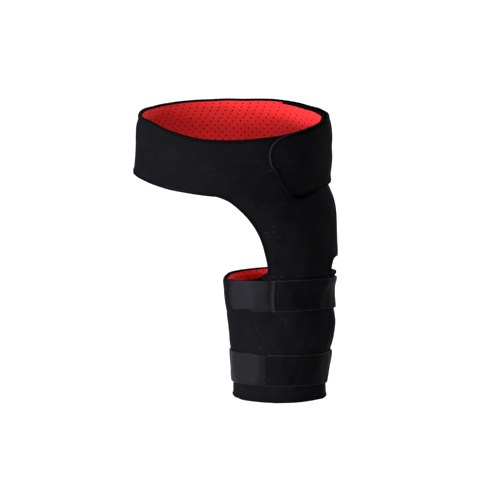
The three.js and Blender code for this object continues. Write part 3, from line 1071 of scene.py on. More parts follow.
def wear_group() -> bpy.types.NodeTree:
    """Dust and rubbing: a slow uneven tone and a rubbed tone where the piece stands proud.

    Returns:
        The group.
    """
    nodes, start, end = effect_group(
        "rubbing", {"Size": 40.0, "Amount": 0.25}, {"Shade": "Float", "Rough": "Float"},
    )
    place = nodes.add("ShaderNodeTexCoord").outputs["Object"]
    cloud = nodes.noise(place, start.outputs["Size"], 5.0, 0.62)
    edge = nodes.ramp(nodes.add("ShaderNodeNewGeometry").outputs["Pointiness"], 0.5, 0.62)
    middle = nodes.math("MULTIPLY", nodes.math("SUBTRACT", cloud, 0.5), 2.0)
    both = nodes.math("ADD", middle, nodes.math("MULTIPLY", edge, 0.6))
    shade = nodes.math("MULTIPLY_ADD", both, start.outputs["Amount"], 1.0)
    nodes.put(end, Shade=shade, Rough=nodes.math("MULTIPLY", both, 0.12))
    return nodes.tree


class Slot(Enum):
    """The record's material slots."""

    NEOPRENE = "neoprene"
    LINING = "lining"
    BINDING = "binding"
    STRAP = "strap"
    TAB = "tab"


@dataclass(frozen=True)
class Finish:
    """What every finish has: its slot, its colour and how it takes light."""

    name: str
    slot: Slot
    color: tuple[float, float, float]
    rough: float
    sheen: float = 0.0
    sheen_rough: float = 0.5
    sheen_tint: tuple[float, float, float] = (1.0, 1.0, 1.0)
    specular: float = 0.4
    bump: float = 0.3
    bump_depth: float = 0.0004

    def build(self, effects: "Effects") -> bpy.types.Material:
        """Makes the material.

        Args:
            effects: The shared shader groups.

        Returns:
            The material, with its colour, roughness and relief from its nodes.
        """
        material = bpy.data.materials.new(self.name)
        material.use_nodes = True
        material.diffuse_color = (*self.color, 1.0)
        nodes = Nodes(material.node_tree)
        shader = material.node_tree.nodes["Principled BSDF"]
        shader.inputs["Specular IOR Level"].default_value = self.specular
        shader.inputs["Sheen Weight"].default_value = self.sheen
        shader.inputs["Sheen Roughness"].default_value = self.sheen_rough
        shader.inputs["Sheen Tint"].default_value = (*self.sheen_tint, 1.0)
        color, rough, height = self.surface(nodes, effects)
        material.node_tree.links.new(color, shader.inputs["Base Color"])
        material.node_tree.links.new(rough, shader.inputs["Roughness"])
        relief = nodes.add("ShaderNodeBump", {
            "Height": height, "Strength": self.bump, "Distance": self.bump_depth,
        })
        material.node_tree.links.new(relief.outputs[0], shader.inputs["Normal"])
        return material

    def shaded(self, nodes: Nodes, shade: object, fleck: object = 0.0,
               light: float = 0.0) -> bpy.types.NodeSocket:
        """The colour times a shade, with flecks of a lighter tone.

        Args:
            nodes: The material's nodes.
            shade: The shade.
            fleck: How much each place is a fleck.
            light: The flecks' tone.

        Returns:
            The colour.
        """
        toned = nodes.add("ShaderNodeVectorMath", {0: self.color, "Scale": shade}, operation="SCALE")
        flecks = (light, light, light * FLECK_BLUE, 1.0)
        mixed = nodes.add("ShaderNodeMix", {0: fleck, 6: toned.outputs[0], 7: flecks}, data_type="RGBA")
        return mixed.outputs[2]

    def surface(self, nodes: Nodes, effects: "Effects") -> tuple:
        """The colour, roughness and height that the finish puts out."""
        raise NotImplementedError


class Effects:
    """The shader groups that several finishes share."""

    def __init__(self) -> None:
        """Builds each group once."""
        self.nap = nap_group()
        self.weave = weave_group()
        self.wear = wear_group()

    def use(self, nodes: Nodes, tree: bpy.types.NodeTree, **values: float) -> bpy.types.Node:
        """Places a group in a material with its own values."""
        return nodes.add("ShaderNodeGroup", values, node_tree=tree)


@dataclass(frozen=True)
class LintSpot:
    """A place where lint gathers: its middle and its radius, in metres."""

    centre: tuple[float, float, float]
    radius: float


@dataclass(frozen=True)
class NeopreneFinish(Finish):
    """Neoprene faced with a short loop nap."""

    specks: float = 0.5
    speck_light: float = 0.05
    linty: tuple[LintSpot, ...] = ()

    def gathered(self, nodes: Nodes) -> bpy.types.NodeSocket | float:
        """How much lint has gathered at each place: a little all over, and most in the linty spots.

        Args:
            nodes: The material's nodes.

        Returns:
            The share of the lint that shows.
        """
        place = nodes.add("ShaderNodeTexCoord").outputs["Object"]
        most = LINT_EVERYWHERE
        for spot in self.linty:
            away = nodes.add("ShaderNodeVectorMath", {0: place, 1: spot.centre}, operation="DISTANCE")
            near = nodes.ramp(away.outputs["Value"], spot.radius, spot.radius * LINT_HEART)
            most = nodes.math("MAXIMUM", most, near)
        return most

    def surface(self, nodes: Nodes, effects: Effects) -> tuple:
        """Nap with specks, unevenly rubbed.

        Args:
            nodes: The material's nodes.
            effects: The shared shader groups.

        Returns:
            The colour, the roughness and the height.
        """
        nap = effects.use(nodes, effects.nap, Specks=self.specks)
        wear = effects.use(nodes, effects.wear, Size=18.0, Amount=0.14)
        shade = nodes.math("MULTIPLY", nap.outputs["Shade"], wear.outputs["Shade"])
        fleck = nodes.math("MULTIPLY", nap.outputs["Fleck"], self.gathered(nodes))
        color = self.shaded(nodes, shade, fleck, self.speck_light)
        rough = nodes.math("ADD", wear.outputs["Rough"], self.rough)
        return color, rough, nap.outputs["Height"]


@dataclass(frozen=True)
class LiningFinish(Finish):
    """Knitted lining cloth."""

    def surface(self, nodes: Nodes, effects: Effects) -> tuple:
        """A fine knit with a soft uneven tone.

        Args:
            nodes: The material's nodes.
            effects: The shared shader groups.

        Returns:
            The colour, the roughness and the height.
        """
        knit = effects.use(nodes, effects.weave, Along=4200.0, Across=5200.0, Lean=0.25)
        wear = effects.use(nodes, effects.wear, Size=30.0, Amount=0.07)
        shade = nodes.math("MULTIPLY", knit.outputs["Shade"], wear.outputs["Shade"])
        rough = nodes.math("ADD", wear.outputs["Rough"], self.rough)
        return self.shaded(nodes, shade), rough, knit.outputs["Height"]


@dataclass(frozen=True)
class TapeFinish(Finish):
    """Woven tape or webbing."""

    along: float = 5200.0
    across: float = 3600.0
    lean: float = 0.0
    rub_and_painted_highlight: float = 0.2

    def surface(self, nodes: Nodes, effects: Effects) -> tuple:
        """Ribs, rubbed where they stand proud, and lighter or darker by the tone on each point, which holds
        the painted highlights and painted shade that each piece is given.

        Args:
            nodes: The material's nodes.
            effects: The shared shader groups.

        Returns:
            The colour, the roughness and the height.
        """
        ribs = effects.use(nodes, effects.weave, Along=self.along, Across=self.across, Lean=self.lean)
        wear = effects.use(nodes, effects.wear, Size=24.0, Amount=self.rub_and_painted_highlight)
        # The tone attribute: painted highlights and painted shade laid on the piece.
        tone = nodes.math("ADD", nodes.add("ShaderNodeAttribute", attribute_name="tone").outputs["Fac"], 1.0)
        shade = nodes.math("MULTIPLY", ribs.outputs["Shade"], wear.outputs["Shade"])
        shade = nodes.math("MULTIPLY", shade, tone)
        rough = nodes.math("ADD", wear.outputs["Rough"], self.rough)
        return self.shaded(nodes, shade), rough, ribs.outputs["Height"]


NEOPRENE = NeopreneFinish(
    "neoprene", Slot.NEOPRENE, (0.0035, 0.0035, 0.0037), 0.85, specular=0.012, bump=0.6, bump_depth=0.0006,
    specks=1.0, speck_light=0.015,
    linty=(
        LintSpot((0.03, -0.11, -0.03), 0.12),
        LintSpot((0.08, -0.1, -0.08), 0.07),
        LintSpot((0.05, -0.09, -0.14), 0.06),
        LintSpot((0.03, -0.08, -0.31), 0.07),
    ),
)
LINING_RED = LiningFinish(
    "lining", Slot.LINING, (0.60, 0.0190, 0.0175), 0.8, sheen=0.02, sheen_tint=(1.0, 0.5, 0.5),
    specular=0.12, bump=0.25, bump_depth=0.0002,
)
BINDING_TAPE = TapeFinish(
    "binding", Slot.BINDING, (0.0023, 0.0023, 0.0024), 0.7, specular=0.004, bump=0.35,
    bump_depth=0.00015, lean=0.6,
)
STRAP_ELASTIC = TapeFinish(
    "strap", Slot.STRAP, (0.0018, 0.0018, 0.0019), 0.62, specular=0.03, bump=0.3,
    bump_depth=0.0002, along=3100.0, across=2500.0,
)
TAB_HOOK = TapeFinish(
    "tab", Slot.TAB, (0.0042, 0.0042, 0.0044), 0.5, sheen=0.006, specular=0.05, bump=0.2,
    bump_depth=0.00015, along=3900.0, across=3900.0, rub_and_painted_highlight=0.1,
)
LOOP_PATCH = NeopreneFinish(
    "loop_patch", Slot.STRAP, (0.0030, 0.0030, 0.0031), 0.85, specular=0.015, bump=0.5,
    bump_depth=0.0005, specks=0.1, speck_light=0.013,
)
THREAD = TapeFinish(
    "thread", Slot.BINDING, (0.0075, 0.0074, 0.0078), 0.6, specular=0.06, bump=0.2, bump_depth=0.0001,
)
THREAD_DARK = TapeFinish(
    "thread_dark", Slot.BINDING, (0.0036, 0.0036, 0.0037), 0.6, specular=0.04, bump=0.2, bump_depth=0.0001,
)
THREAD_LIGHT = TapeFinish(
    "thread_light", Slot.BINDING, (0.042, 0.042, 0.046), 0.55, specular=0.2, bump=0.2, bump_depth=0.0001,
)
THREAD_RED = TapeFinish(
    "thread_red", Slot.LINING, (0.42, 0.011, 0.010), 0.6, specular=0.2, bump=0.2, bump_depth=0.0001,
)


@dataclass
class Workshop:
    """The shared tools and finished materials."""

    effects: Effects = field(default_factory=Effects)
    punch: PerforationTool = field(default_factory=PerforationTool)
    needle: StitchTool = field(default_factory=StitchTool)
    materials: dict[str, bpy.types.Material] = field(default_factory=dict)

    def material(self, finish: Finish) -> bpy.types.Material:
        """The finish's material, made the first time it is asked for.

        Args:
            finish: The finish.

        Returns:
            Its material.
        """
        if finish.name not in self.materials:
            self.materials[finish.name] = finish.build(self.effects)
        return self.materials[finish.name]

    def dress(self, piece: bpy.types.Object, finish: Finish, *nodes: str) -> bpy.types.Object:
        """Gives a piece its material, its body and the solids that it stands for.

        Args:
            piece: The piece.
            finish: Its finish.
            nodes: The solids that it replaces.

        Returns:
            The piece.
        """
        piece.data.materials.clear()
        piece.data.materials.append(self.material(finish))
        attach(piece, BODY)
        if nodes:
            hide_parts(*nodes)
        log.info("%s: %d faces", piece.name, len(piece.data.polygons))
        return piece

    def stitches(self, name: str, paths: Sequence["Seam"], thread: Finish = THREAD, pitch: float = 3.4,
                 length: float = 2.5, thick: float = 0.62, slant: float = 0.0) -> bpy.types.Object:
        """Sews along several lines, as one piece.

        Args:
            name: The piece's name.
            paths: The lines.
            thread: The thread.
            pitch: Millimetres from one stitch to the next.
            length: A stitch's length.
            thick: The thread's thickness.
            slant: How far each stitch turns off the line, in degrees.

        Returns:
            The stitches.
        """
        points, edges, facings = [], [], []
        for path in paths:
            spots, outs = path.line()
            base = len(points)
            points.extend(spots.tolist())
            facings.extend(outs.tolist())
            edges.extend((base + k, base + k + 1) for k in range(len(spots) - 1))
        mesh = bpy.data.meshes.new(name)
        mesh.from_pydata(points, edges, [])
        facing = mesh.attributes.new("facing", "FLOAT_VECTOR", "POINT")
        facing.data.foreach_set("vector", np.array(facings, float).ravel())
        line = placed(name, mesh)
        made = self.needle.run(line, name, Pitch=pitch * MM, Length=length * MM, Thick=thick * MM,
                               Slant=math.radians(slant), Material=self.material(thread))
        made.data.shade_smooth()
        return self.dress(made, thread)


@dataclass
class Seam:
    """A line on the form with a height over it."""

    azimuth: np.ndarray
    z: np.ndarray
    out: np.ndarray | float = 0.0
    inward: bool = False

    def line(self) -> tuple[np.ndarray, np.ndarray]:
        """Its points in metres, and the way out of the cloth at each."""
        out = SHAPE.outward(self.azimuth, self.z)
        return SHAPE.place(self.azimuth, self.z, self.out), -out if self.inward else out


@dataclass
class Edge:
    """An edge of a wall, with the wall on its left as seen from outside, and the tape folded over it."""

    azimuth: np.ndarray
    z: np.ndarray
    inner: Field
    outer: Field
    closed: bool = False
    leg: np.ndarray | float = 3.4
    tuck: np.ndarray | float = 1.6
    tone: np.ndarray | float = 0.0
    thread: Finish = THREAD_DARK

    def into(self) -> np.ndarray:
        """The direction from each place of the edge into the wall.

        Returns:
            Unit vectors.
        """
        along = SHAPE.bare(self.azimuth, self.z)
        if self.closed:
            ahead = np.roll(along, -1, axis=0) - np.roll(along, 1, axis=0)
        else:
            ahead = np.gradient(along, axis=0)
        into = np.cross(SHAPE.outward(self.azimuth, self.z), ahead)
        return into / np.linalg.norm(into, axis=-1, keepdims=True)

    def moved(self, distance: float) -> tuple[np.ndarray, np.ndarray]:
        """The places some way into the wall from the edge."""
        return SHAPE.slide(self.azimuth, self.z, self.into(), distance)

    def seam(self, distance: float, proud: float, inward: bool = False) -> Seam:
        """A line of sewing beside the edge.

        Args:
            distance: How far in from the edge.
            proud: How far over the cloth.
            inward: Whether it is on the side of the body.

        Returns:
            The line.
        """
        azimuth, z = self.moved(distance)
        face = self.inner(azimuth, z) - proud if inward else self.outer(azimuth, z) + proud
        if self.closed:
            azimuth, z, face = (np.append(values, values[0]) for values in (azimuth, z, face))
            azimuth[-1] += 360.0
        return Seam(azimuth, z, face, inward)


@dataclass
class Bindings:
    """The tape folded over each edge, and its stitches."""

    workshop: Workshop
    leg_steps: int = 4
    fold_steps: int = 7
    sewn_in: float = 0.9
    least_sewn: float = 0.6

    def section(self, edge: Edge) -> np.ndarray:
        """The rings of the folded tape, in metres.

        Args:
            edge: The edge that it is folded over.

        Returns:
            Points by place along the edge, by place round the tape's own outline.
        """
        into = edge.into()

        def at(inwards: np.ndarray | float, share: float, ease: float) -> np.ndarray:
            """The points some way into the wall, at a share of the way from its inside to its outside.

            Args:
                inwards: How far in from the edge.
                share: The share of the way out.
                ease: How far the tape is off the wall.

            Returns:
                Points in metres.
            """
            azimuth, z = SHAPE.slide(edge.azimuth, edge.z, into, inwards)
            high = edge.outer(azimuth, z) + ease
            low = edge.inner(azimuth, z) - ease
            return SHAPE.place(azimuth, z, low + (high - low) * share)

        def side(ease: float, bulge: float) -> list[np.ndarray]:
            """One side of the tape: down the outside, round the edge and up the inside.

            Args:
                ease: How far it is off the wall.
                bulge: How far it goes round the edge.

            Returns:
                A line of points for each place on its outline.
            """
            outside = np.linspace(edge.leg, 0.0, self.leg_steps, axis=0)
            inside = np.linspace(0.0, edge.tuck, self.leg_steps, axis=0)
            turns = np.linspace(0, np.pi, self.fold_steps + 2)[1:-1]
            lines = [at(leg, 1.0, ease) for leg in outside]
            lines += [at(-bulge * math.sin(t), 0.5 + 0.5 * math.cos(t), ease) for t in turns]
            lines += [at(leg, 0.0, ease) for leg in inside]
            return lines

        outer = side(TAPE_EASE + TAPE, GAP + TAPE)
        inner = side(TAPE_EASE, GAP)
        return np.stack(outer + inner[::-1], axis=1)

    def build(self, name: str, edge: Edge) -> bpy.types.Object:
        """Folds a tape over an edge and sews it down.

        Args:
            name: The solid's name.
            edge: The edge.

        Returns:
            The tape.
        """
        fold = np.zeros(2 * (2 * self.leg_steps + self.fold_steps))
        fold[self.leg_steps:self.leg_steps + self.fold_steps - 1] = 1.0
        # Painted highlights in the tone stay on the tape's fold; painted shade darkens the whole tape.
        tone = np.broadcast_to(edge.tone, edge.z.shape)[:, None]
        tone = np.where(tone > 0, tone * fold, tone)
        tape = swept_mesh(name + "_tape", self.section(edge), edge.closed, tone)
        self.workshop.dress(tape, BINDING_TAPE, name)
        proud = TAPE_EASE + TAPE + 0.1
        inside = np.maximum(edge.tuck - self.sewn_in, self.least_sewn)
        rows = [edge.seam(edge.leg - self.sewn_in, proud), edge.seam(inside, proud, inward=True)]
        self.workshop.stitches(name + "_stitches", rows, edge.thread)
        return tape


@dataclass
class Linings:
    """The perforated linings, whose holes are in staggered rows over each flat pattern."""

    workshop: Workshop
    across: float = 13.0
    up: float = 6.3
    radius: float = 1.3
    first_row: float = 3.0

    def build(self, node: str, grids: Sequence[Grid], inner: Field, flat: tuple[float, float],
              area: float) -> bpy.types.Object:
        """Cuts a lining and its holes.

        Args:
            node: The solid that it replaces.
            grids: The places that it covers.
            inner: Its face on the side of the body.
            flat: The width and length that it is cut from, in metres. Not used.
            area: The cut's flat area in square metres. Not used.

        Returns:
            The lining.
        """
        def outer(azimuth: np.ndarray, z: np.ndarray) -> np.ndarray:
            """The lining's face on the side of the wall."""
            return inner(azimuth, z) + LINING

        surface = surface_mesh(node + "_face", grids, inner)
        shell = wall_mesh(node + "_shell", grids, inner, outer)
        spots = np.concatenate([grid.flat.reshape(-1, 2) for grid in grids])
        low, high = spots.min(0), spots.max(0)
        columns, rows = (np.ceil((high - low) / (np.array([self.across, self.up]) * MM)) + 1).astype(int)
        corner = (float(low[0]), float(low[1]) + self.first_row * MM, 0.0)
        piece = self.workshop.punch.run(
            shell, node + "_cloth", Surface=surface, Across=self.across * MM, Up=self.up * MM,
            Columns=int(columns), Rows=int(rows), Corner=corner, Radius=self.radius * MM,
            Depth=4 * LINING * MM, Material=self.workshop.material(LINING_RED),
        )
        bpy.data.objects.remove(surface)
        piece.data.shade_smooth()
        piece.data.set_sharp_from_angle(angle=math.radians(SHARP_LINING))
        self.workshop.dress(piece, LINING_RED, node)
        return piece


@dataclass
class FrontPanel:
    """The front of the belt and the hip panel below it, one sheet."""

    workshop: Workshop
    cell: float = 1.6
    rows: int = 30
    hip_rows: int = 112
    lining_cell: float = 3.2
    lining_rows: int = 14
    lining_hip_rows: int = 52
    top: SmoothTable = field(init=False)
    bottom: SmoothTable = field(init=False)
    hip: SmoothTable = field(init=False)

    def __post_init__(self) -> None:
        """Reads the tables of its outline."""
        self.top = SmoothTable(BELT_TOP, "azimuth", 360)
        self.bottom = SmoothTable(FRONT_BOTTOM, "azimuth")
        self.hip = SmoothTable(HIP, "row")

    def grids(self, inset: float, cell: float, rows: int, hip_rows: int) -> list[Grid]:
        """The belt's grid and the hip panel's.

        Args:
            inset: How far the sheet stays in from the panel's edges.
            cell: Degrees between two columns.
            rows: The belt's rows of cells.
            hip_rows: The hip panel's.

        Returns:
            The two grids, rows going up.
        """
        turn = inset * TURN_PER_MM
        close = min(turn, CLOSE_TURN)
        wide = np.linspace(SIDE_SEAM + turn, HIP_START + turn, int((HIP_START - SIDE_SEAM) / cell))
        over = np.linspace(HIP_START + turn, FRONT_END - close, int((FRONT_END - HIP_START) / cell))
        azimuth = np.concatenate([wide[:-1], over])
        low = self.bottom.read("z", azimuth) + inset
        belt = Grid.between(azimuth, low, self.top.read("z", azimuth) - inset, rows)
        across = (over - over[0]) / (over[-1] - over[0])
        row = np.linspace(0, len(HIP) - 1, hip_rows + 1)[:, None]
        front = np.maximum(self.hip.read("front", row), WRAP_SEAM_FROM) + turn
        back = self.hip.read("back", row) - close - (turn - close) * smoothstep(row, 0, 1)
        front_z, back_z = self.hip.read("frontZ", row), self.hip.read("backZ", row)
        chord = HIP[0]["frontZ"] + (HIP[0]["backZ"] - HIP[0]["frontZ"]) * across
        sag = (low[len(wide) - 1:] - inset - chord) * (1 - smoothstep(row, 0, 4))
        z = front_z + (back_z - front_z) * across + sag + inset * (1 - smoothstep(row, 0, 1))
        z = z + inset * smoothstep(row, len(HIP) - 2, len(HIP) - 1)
        hip = Grid((front + (back - front) * across)[::-1], z[::-1])
        return [belt.flattened(-60), hip.flattened(-60)]

    def edges(self) -> dict[str, Edge]:
        """The panel's bound edges by the name of their solids.

        Returns:
            The three edges.
        """
        outer, inner = level(0.0), level(BODY_SIDE)
        top = np.arange(FRONT_END - 0.4, SIDE_SEAM + 0.2, -1.4)
        foot = np.arange(SIDE_SEAM, HIP_START - 1, 1.5)
        down = np.linspace(0, 14, 130)
        front = self.hip.read("front", down)
        sides = np.concatenate([foot, front])
        heights = np.concatenate([self.bottom.read("z", foot), self.hip.read("frontZ", down)])
        up = np.linspace(14, 1, 120)
        return {
            # The front top tape is drawn darker where it runs under the flap and the back of the belt:
            # painted shade.
            "front_top_binding": Edge(top, self.top.read("z", top), inner, outer, thread=THREAD,
                                      leg=2.4 + 4.2 * smoothstep(top, -160, -114),
                                      tone=-0.7 * smoothstep(top, -60, -40)),
            "hip_front_binding": Edge(sides, heights, inner, outer),
            "hip_back_binding": Edge(self.hip.read("back", up), self.hip.read("backZ", up), inner, outer),
        }

    def build(self, bindings: Bindings, linings: Linings) -> None:
        """Makes the panel, its lining and its bindings.

        Args:
            bindings: Folds the tape over each edge.
            linings: Cuts the perforated linings.
        """
        grids = self.grids(0, self.cell, self.rows, self.hip_rows)
        cloth = wall_mesh("front_panel_cloth", grids, level(-WALL), level(0.0))
        piece = self.workshop.dress(cloth, NEOPRENE, "front_panel")
        lining = self.grids(LINING_INSET, self.lining_cell, self.lining_rows, self.lining_hip_rows)
        linings.build("front_lining", lining, level(BODY_SIDE), (0.46, 0.3), 0.084)
        for name, edge in self.edges().items():
            bindings.build(name, edge)
        self.sew()

    def sew(self) -> None:
        """Sews the panel's end inside the back of the belt, and its foot over the wrap's seam."""
        share = np.linspace(0.05, 0.95, 40)
        end = np.full(40, FRONT_END - 1.4)
        low, high = self.bottom.read("z", end), self.top.read("z", end)
        inside = BODY_SIDE - THREAD_PROUD
        end_row = Seam(end, low + (high - low) * share, inside, True)
        self.workshop.stitches("front_end_stitches", [end_row], THREAD_RED)
        across = np.linspace(-101.0, -33.0, 90)
        self.workshop.stitches("hip_foot_stitches", [Seam(across, np.full(90, -206.3), 0.2)])
        tacks = np.linspace(-94.6, -87.4, 12)
        foot = np.linspace(-129.0, -113.0, 40)
        light = [Seam(tacks, np.full(12, -205.2), 0.5), Seam(foot, self.bottom.read("z", foot) + 3.6, 1.1)]
        self.workshop.stitches("light_stitches", light, THREAD_LIGHT, pitch=6.4, length=2.0, thick=0.8)
        around = np.linspace(WRAP_SEAM_FROM + 1.0, WRAP_SEAM_TO - 1.0, 90)
        rows = [Seam(around, np.full(90, WRAP_SEAM_Z + side), inside, True) for side in (2.6, -2.6)]
        self.workshop.stitches("wrap_seam_stitches", rows, THREAD_RED)


@dataclass
class BackBelt:
    """The back of the belt, round to the flap's rounded end."""

    workshop: Workshop
    cell: float = 1.7
    rows: int = 40
    lining_columns: int = 46
    lining_rows: int = 14
    curl: float = 3.2
    seam: float = SIDE_SEAM + 360 - 0.12
    seam_pitch: float = 2.2
    seam_stitch: float = 4.6
    seam_thread: float = 0.7
    seam_slant: float = 64.0
    top: SmoothTable = field(init=False)
    bottom: SmoothTable = field(init=False)
    end: SmoothTable = field(init=False)

    def __post_init__(self) -> None:
        """Reads the tables of its outline."""
        self.top = SmoothTable(BELT_TOP, "azimuth", 360)
        self.bottom = SmoothTable(BACK_BOTTOM, "azimuth")
        self.end = SmoothTable(FLAP_END, "share")

    def height(self, azimuth: np.ndarray, share: np.ndarray) -> np.ndarray:
        """The height at a share of the way up the belt."""
        low = self.bottom.read("z", azimuth)
        return low + (self.top.read("z", azimuth) - low) * share

    def inside(self, azimuth: np.ndarray, z: np.ndarray) -> np.ndarray:
        """The belt's inner face, with the foot of the flap curling out a little.

        Args:
            azimuth: Degrees round the body.
            z: Heights.

        Returns:
            How far out it stands.
        """
        low = self.bottom.read("z", azimuth)
        share = (z - low) / (self.top.read("z", azimuth) - low)
        foot = (1 - smoothstep(share, 0.0, 0.42)) * (1 - smoothstep(azimuth, -52, -4))
        return back_inside(azimuth, z) + self.curl * foot

    def outside(self, azimuth: np.ndarray, z: np.ndarray) -> np.ndarray:
        """The belt's outer face."""
        return self.inside(azimuth, z) + WALL

    def grid(self) -> Grid:
        """The belt's places, with the columns bent to the flap's end.

        Returns:
            The grid.
        """
        start = FLAP_END[5]["azimuth"]
        columns = np.linspace(start, self.seam, int((self.seam - start) / self.cell))
        share = (0.5 - 0.5 * np.cos(np.linspace(0, np.pi, self.rows + 1)))[:, None]
        end = self.end.read("azimuth", share)
        azimuth = np.where(columns < 0, columns / start * end, columns)
        return Grid(azimuth, self.height(azimuth, share)).flattened(-70)

    def lining(self) -> Grid:
        """The lining's places, from where the front panel ends.

        Returns:
            The grid.
        """
        columns = np.linspace(FRONT_END + 0.25, self.seam - 0.3, self.lining_columns)
        low = self.bottom.read("z", columns) + LINING_INSET
        high = self.top.read("z", columns) - LINING_INSET
        return Grid.between(columns, low, high, self.lining_rows).flattened(-70)

    def edge(self) -> Edge:
        """The bound edge: back along the top, round the flap's end and along the bottom.

        Returns:
            The edge.
        """
        share = 0.5 - 0.5 * np.cos(np.linspace(0, np.pi, 90))
        end = self.end.read("azimuth", share[::-1])
        top = np.arange(self.seam, FLAP_END[-1]["azimuth"] + 0.8, -1.5)
        bottom = np.arange(FLAP_END[0]["azimuth"] + 1.2, self.seam, 1.5)
        azimuth = np.concatenate([top, end, bottom, [self.seam]])
        shares = np.concatenate([np.ones(len(top)), share[::-1], np.zeros(len(bottom) + 1)])

        def inner(around: np.ndarray, z: np.ndarray) -> np.ndarray:
            """The belt's inner face, or the lining's where there is one."""
            lined = smoothstep(around, FRONT_END - 4, FRONT_END + 0.2)
            return self.inside(around, z) - (GAP + LINING) * lined

        # Painted light on the flap's tape: a painted highlight up the left side of its rounded end, where
        # the key light catches it, and painted shade on the tape from there round the right side. Under the
        # flap's foot there is a painted shadow, where the tape is also widened into a dark wedge, and the
        # foot has a small painted glint.
        rub_and_painted_highlight = 3.8 * smoothstep(shares, 0.4, 0.64) * (1 - smoothstep(azimuth, -55, -44))
        painted_shade_on_right = 0.85 * smoothstep(azimuth, -54, -47) * (1 - smoothstep(azimuth, 60, 80))
        foot = (1 - smoothstep(azimuth, -30, -20)) * smoothstep(azimuth, -60, -52)
        shadow = (1 - smoothstep(shares, 0.0, 0.12)) * foot
        glint = 2.4 * np.exp(-((azimuth + 33) / 2.6) ** 2) * (1 - smoothstep(shares, 0.0, 0.1))
        return Edge(azimuth, self.height(azimuth, shares), inner, self.outside,
                    leg=3.4 + 1.6 * shadow, tone=np.maximum(rub_and_painted_highlight - 0.9 * shadow + glint - painted_shade_on_right, -0.9))

    def flap_seam(self) -> Seam:
        """The row of sewing that holds the hook patch behind the flap, well inside its rounded end.

        Returns:
            The row.
        """
        share = np.linspace(0.10, 0.93, 60)
        azimuth = self.end.read("azimuth", share) + 7.2
        z = self.height(azimuth, share)
        return Seam(azimuth, z, self.outside(azimuth, z) + 0.2)

    def build(self, bindings: Bindings, linings: Linings) -> None:
        """Makes the belt's back, its lining and its binding.

        Args:
            bindings: Folds the tape over each edge.
            linings: Cuts the perforated linings.
        """
        def lining_face(azimuth: np.ndarray, z: np.ndarray) -> np.ndarray:
            """The lining's face on the side of the body."""
            return back_inside(azimuth, z) - GAP - LINING

        cloth = wall_mesh("back_belt_cloth", [self.grid()], self.inside, self.outside)
        piece = self.workshop.dress(cloth, NEOPRENE, "back_belt")
        linings.build("back_lining", [self.lining()], lining_face, (0.32, 0.11), 0.029)
        bindings.build("back_binding", self.edge())
        share = np.linspace(0.05, 0.95, 40)
        side = np.full(40, self.seam + 0.08)
        z = self.height(side, share)
        zigzag = {"pitch": self.seam_pitch, "length": self.seam_stitch,
                  "thick": self.seam_thread, "slant": self.seam_slant}
        self.workshop.stitches("side_seam_stitches", [Seam(side, z, THREAD_PROUD)], **zigzag)
        lined = Seam(side, z, BODY_SIDE - THREAD_PROUD, True)
        self.workshop.stitches("side_seam_lining_stitches", [lined], THREAD_RED, **zigzag)
        self.workshop.stitches("flap_stitches", [self.flap_seam()], THREAD_DARK)


@dataclass
class ThighWrap:
    """The tapered tube round the thigh."""

    workshop: Workshop
    cell: float = 2.0
    rows: int = 84
    band_rows: int = 12
    lining_cell: float = 3.4
    lining_rows: int = 34
    lining_band_rows: int = 5
    start: float = WRAP_SEAM_TO + 0.15
    stop: float = WRAP_SEAM_FROM + 360 - 0.15
    top: SmoothTable = field(init=False)
    hem: SmoothTable = field(init=False)

    def __post_init__(self) -> None:
        """Reads the tables of its outline."""
        self.top = SmoothTable(THIGH_TOP, "azimuth")
        self.hem = SmoothTable(HEM, "azimuth", 360)

    def grids(self, inset: float, cell: float, rows: int, band_rows: int) -> list[Grid]:
        """The tube below, and the band above that is open where the hip panel is sewn in.

        Args:
            inset: How far the sheet stays in from the wrap's edges.
            cell: Degrees between two columns.
            rows: The tube's rows of cells.
            band_rows: The band's.

        Returns:
            The two grids, rows going up.
        """
        turn = inset * TURN_PER_MM
        start, stop = self.start + turn, self.stop - turn
        columns = np.linspace(start, stop, int((stop - start) / cell))
        under = np.linspace(stop, start + 360, int((start + 360 - stop) / cell))
        seam = WRAP_SEAM_Z - inset
        turned = np.concatenate([columns[:-1], under])
        tube = Grid.between(turned, self.hem.read("z", turned) + inset, seam, rows)
        band = Grid.between(columns, seam, self.top.read("z", columns) - inset, band_rows)
        return [tube.flattened(self.start, ring=True), band.flattened(self.start, ring=True)]

    def build(self, bindings: Bindings, linings: Linings) -> None:
        """Makes the wrap, its lining and its bindings.

        Args:
            bindings: Folds the tape over each edge.
            linings: Cuts the perforated linings.
        """
        grids = self.grids(0, self.cell, self.rows, self.band_rows)
        cloth = wall_mesh("thigh_wrap_cloth", grids, level(-WALL), level(0.0))
        piece = self.workshop.dress(cloth, NEOPRENE, "thigh_wrap")
        inner = level(BODY_SIDE)
        lining = self.grids(LINING_INSET, self.lining_cell, self.lining_rows, self.lining_band_rows)
        linings.build("thigh_lining", lining, inner, (0.54, 0.215), 0.0925)
        top = np.arange(self.stop - 0.8, self.start + 0.8, -1.5)
        tuck = 1.6 + 7.0 * smoothstep(top, -40, -20) * (1 - smoothstep(top, 60, 80))
        tone = -0.35 - 0.4 * smoothstep(top, -60, -20)
        bindings.build("thigh_top_binding",
                       Edge(top, self.top.read("z", top), inner, level(0.0), tuck=tuck, tone=tone))
        hem = np.arange(-180.0, 180.0, 1.5)
        bindings.build("hem_binding", Edge(hem, self.hem.read("z", hem), inner, level(0.0), closed=True))


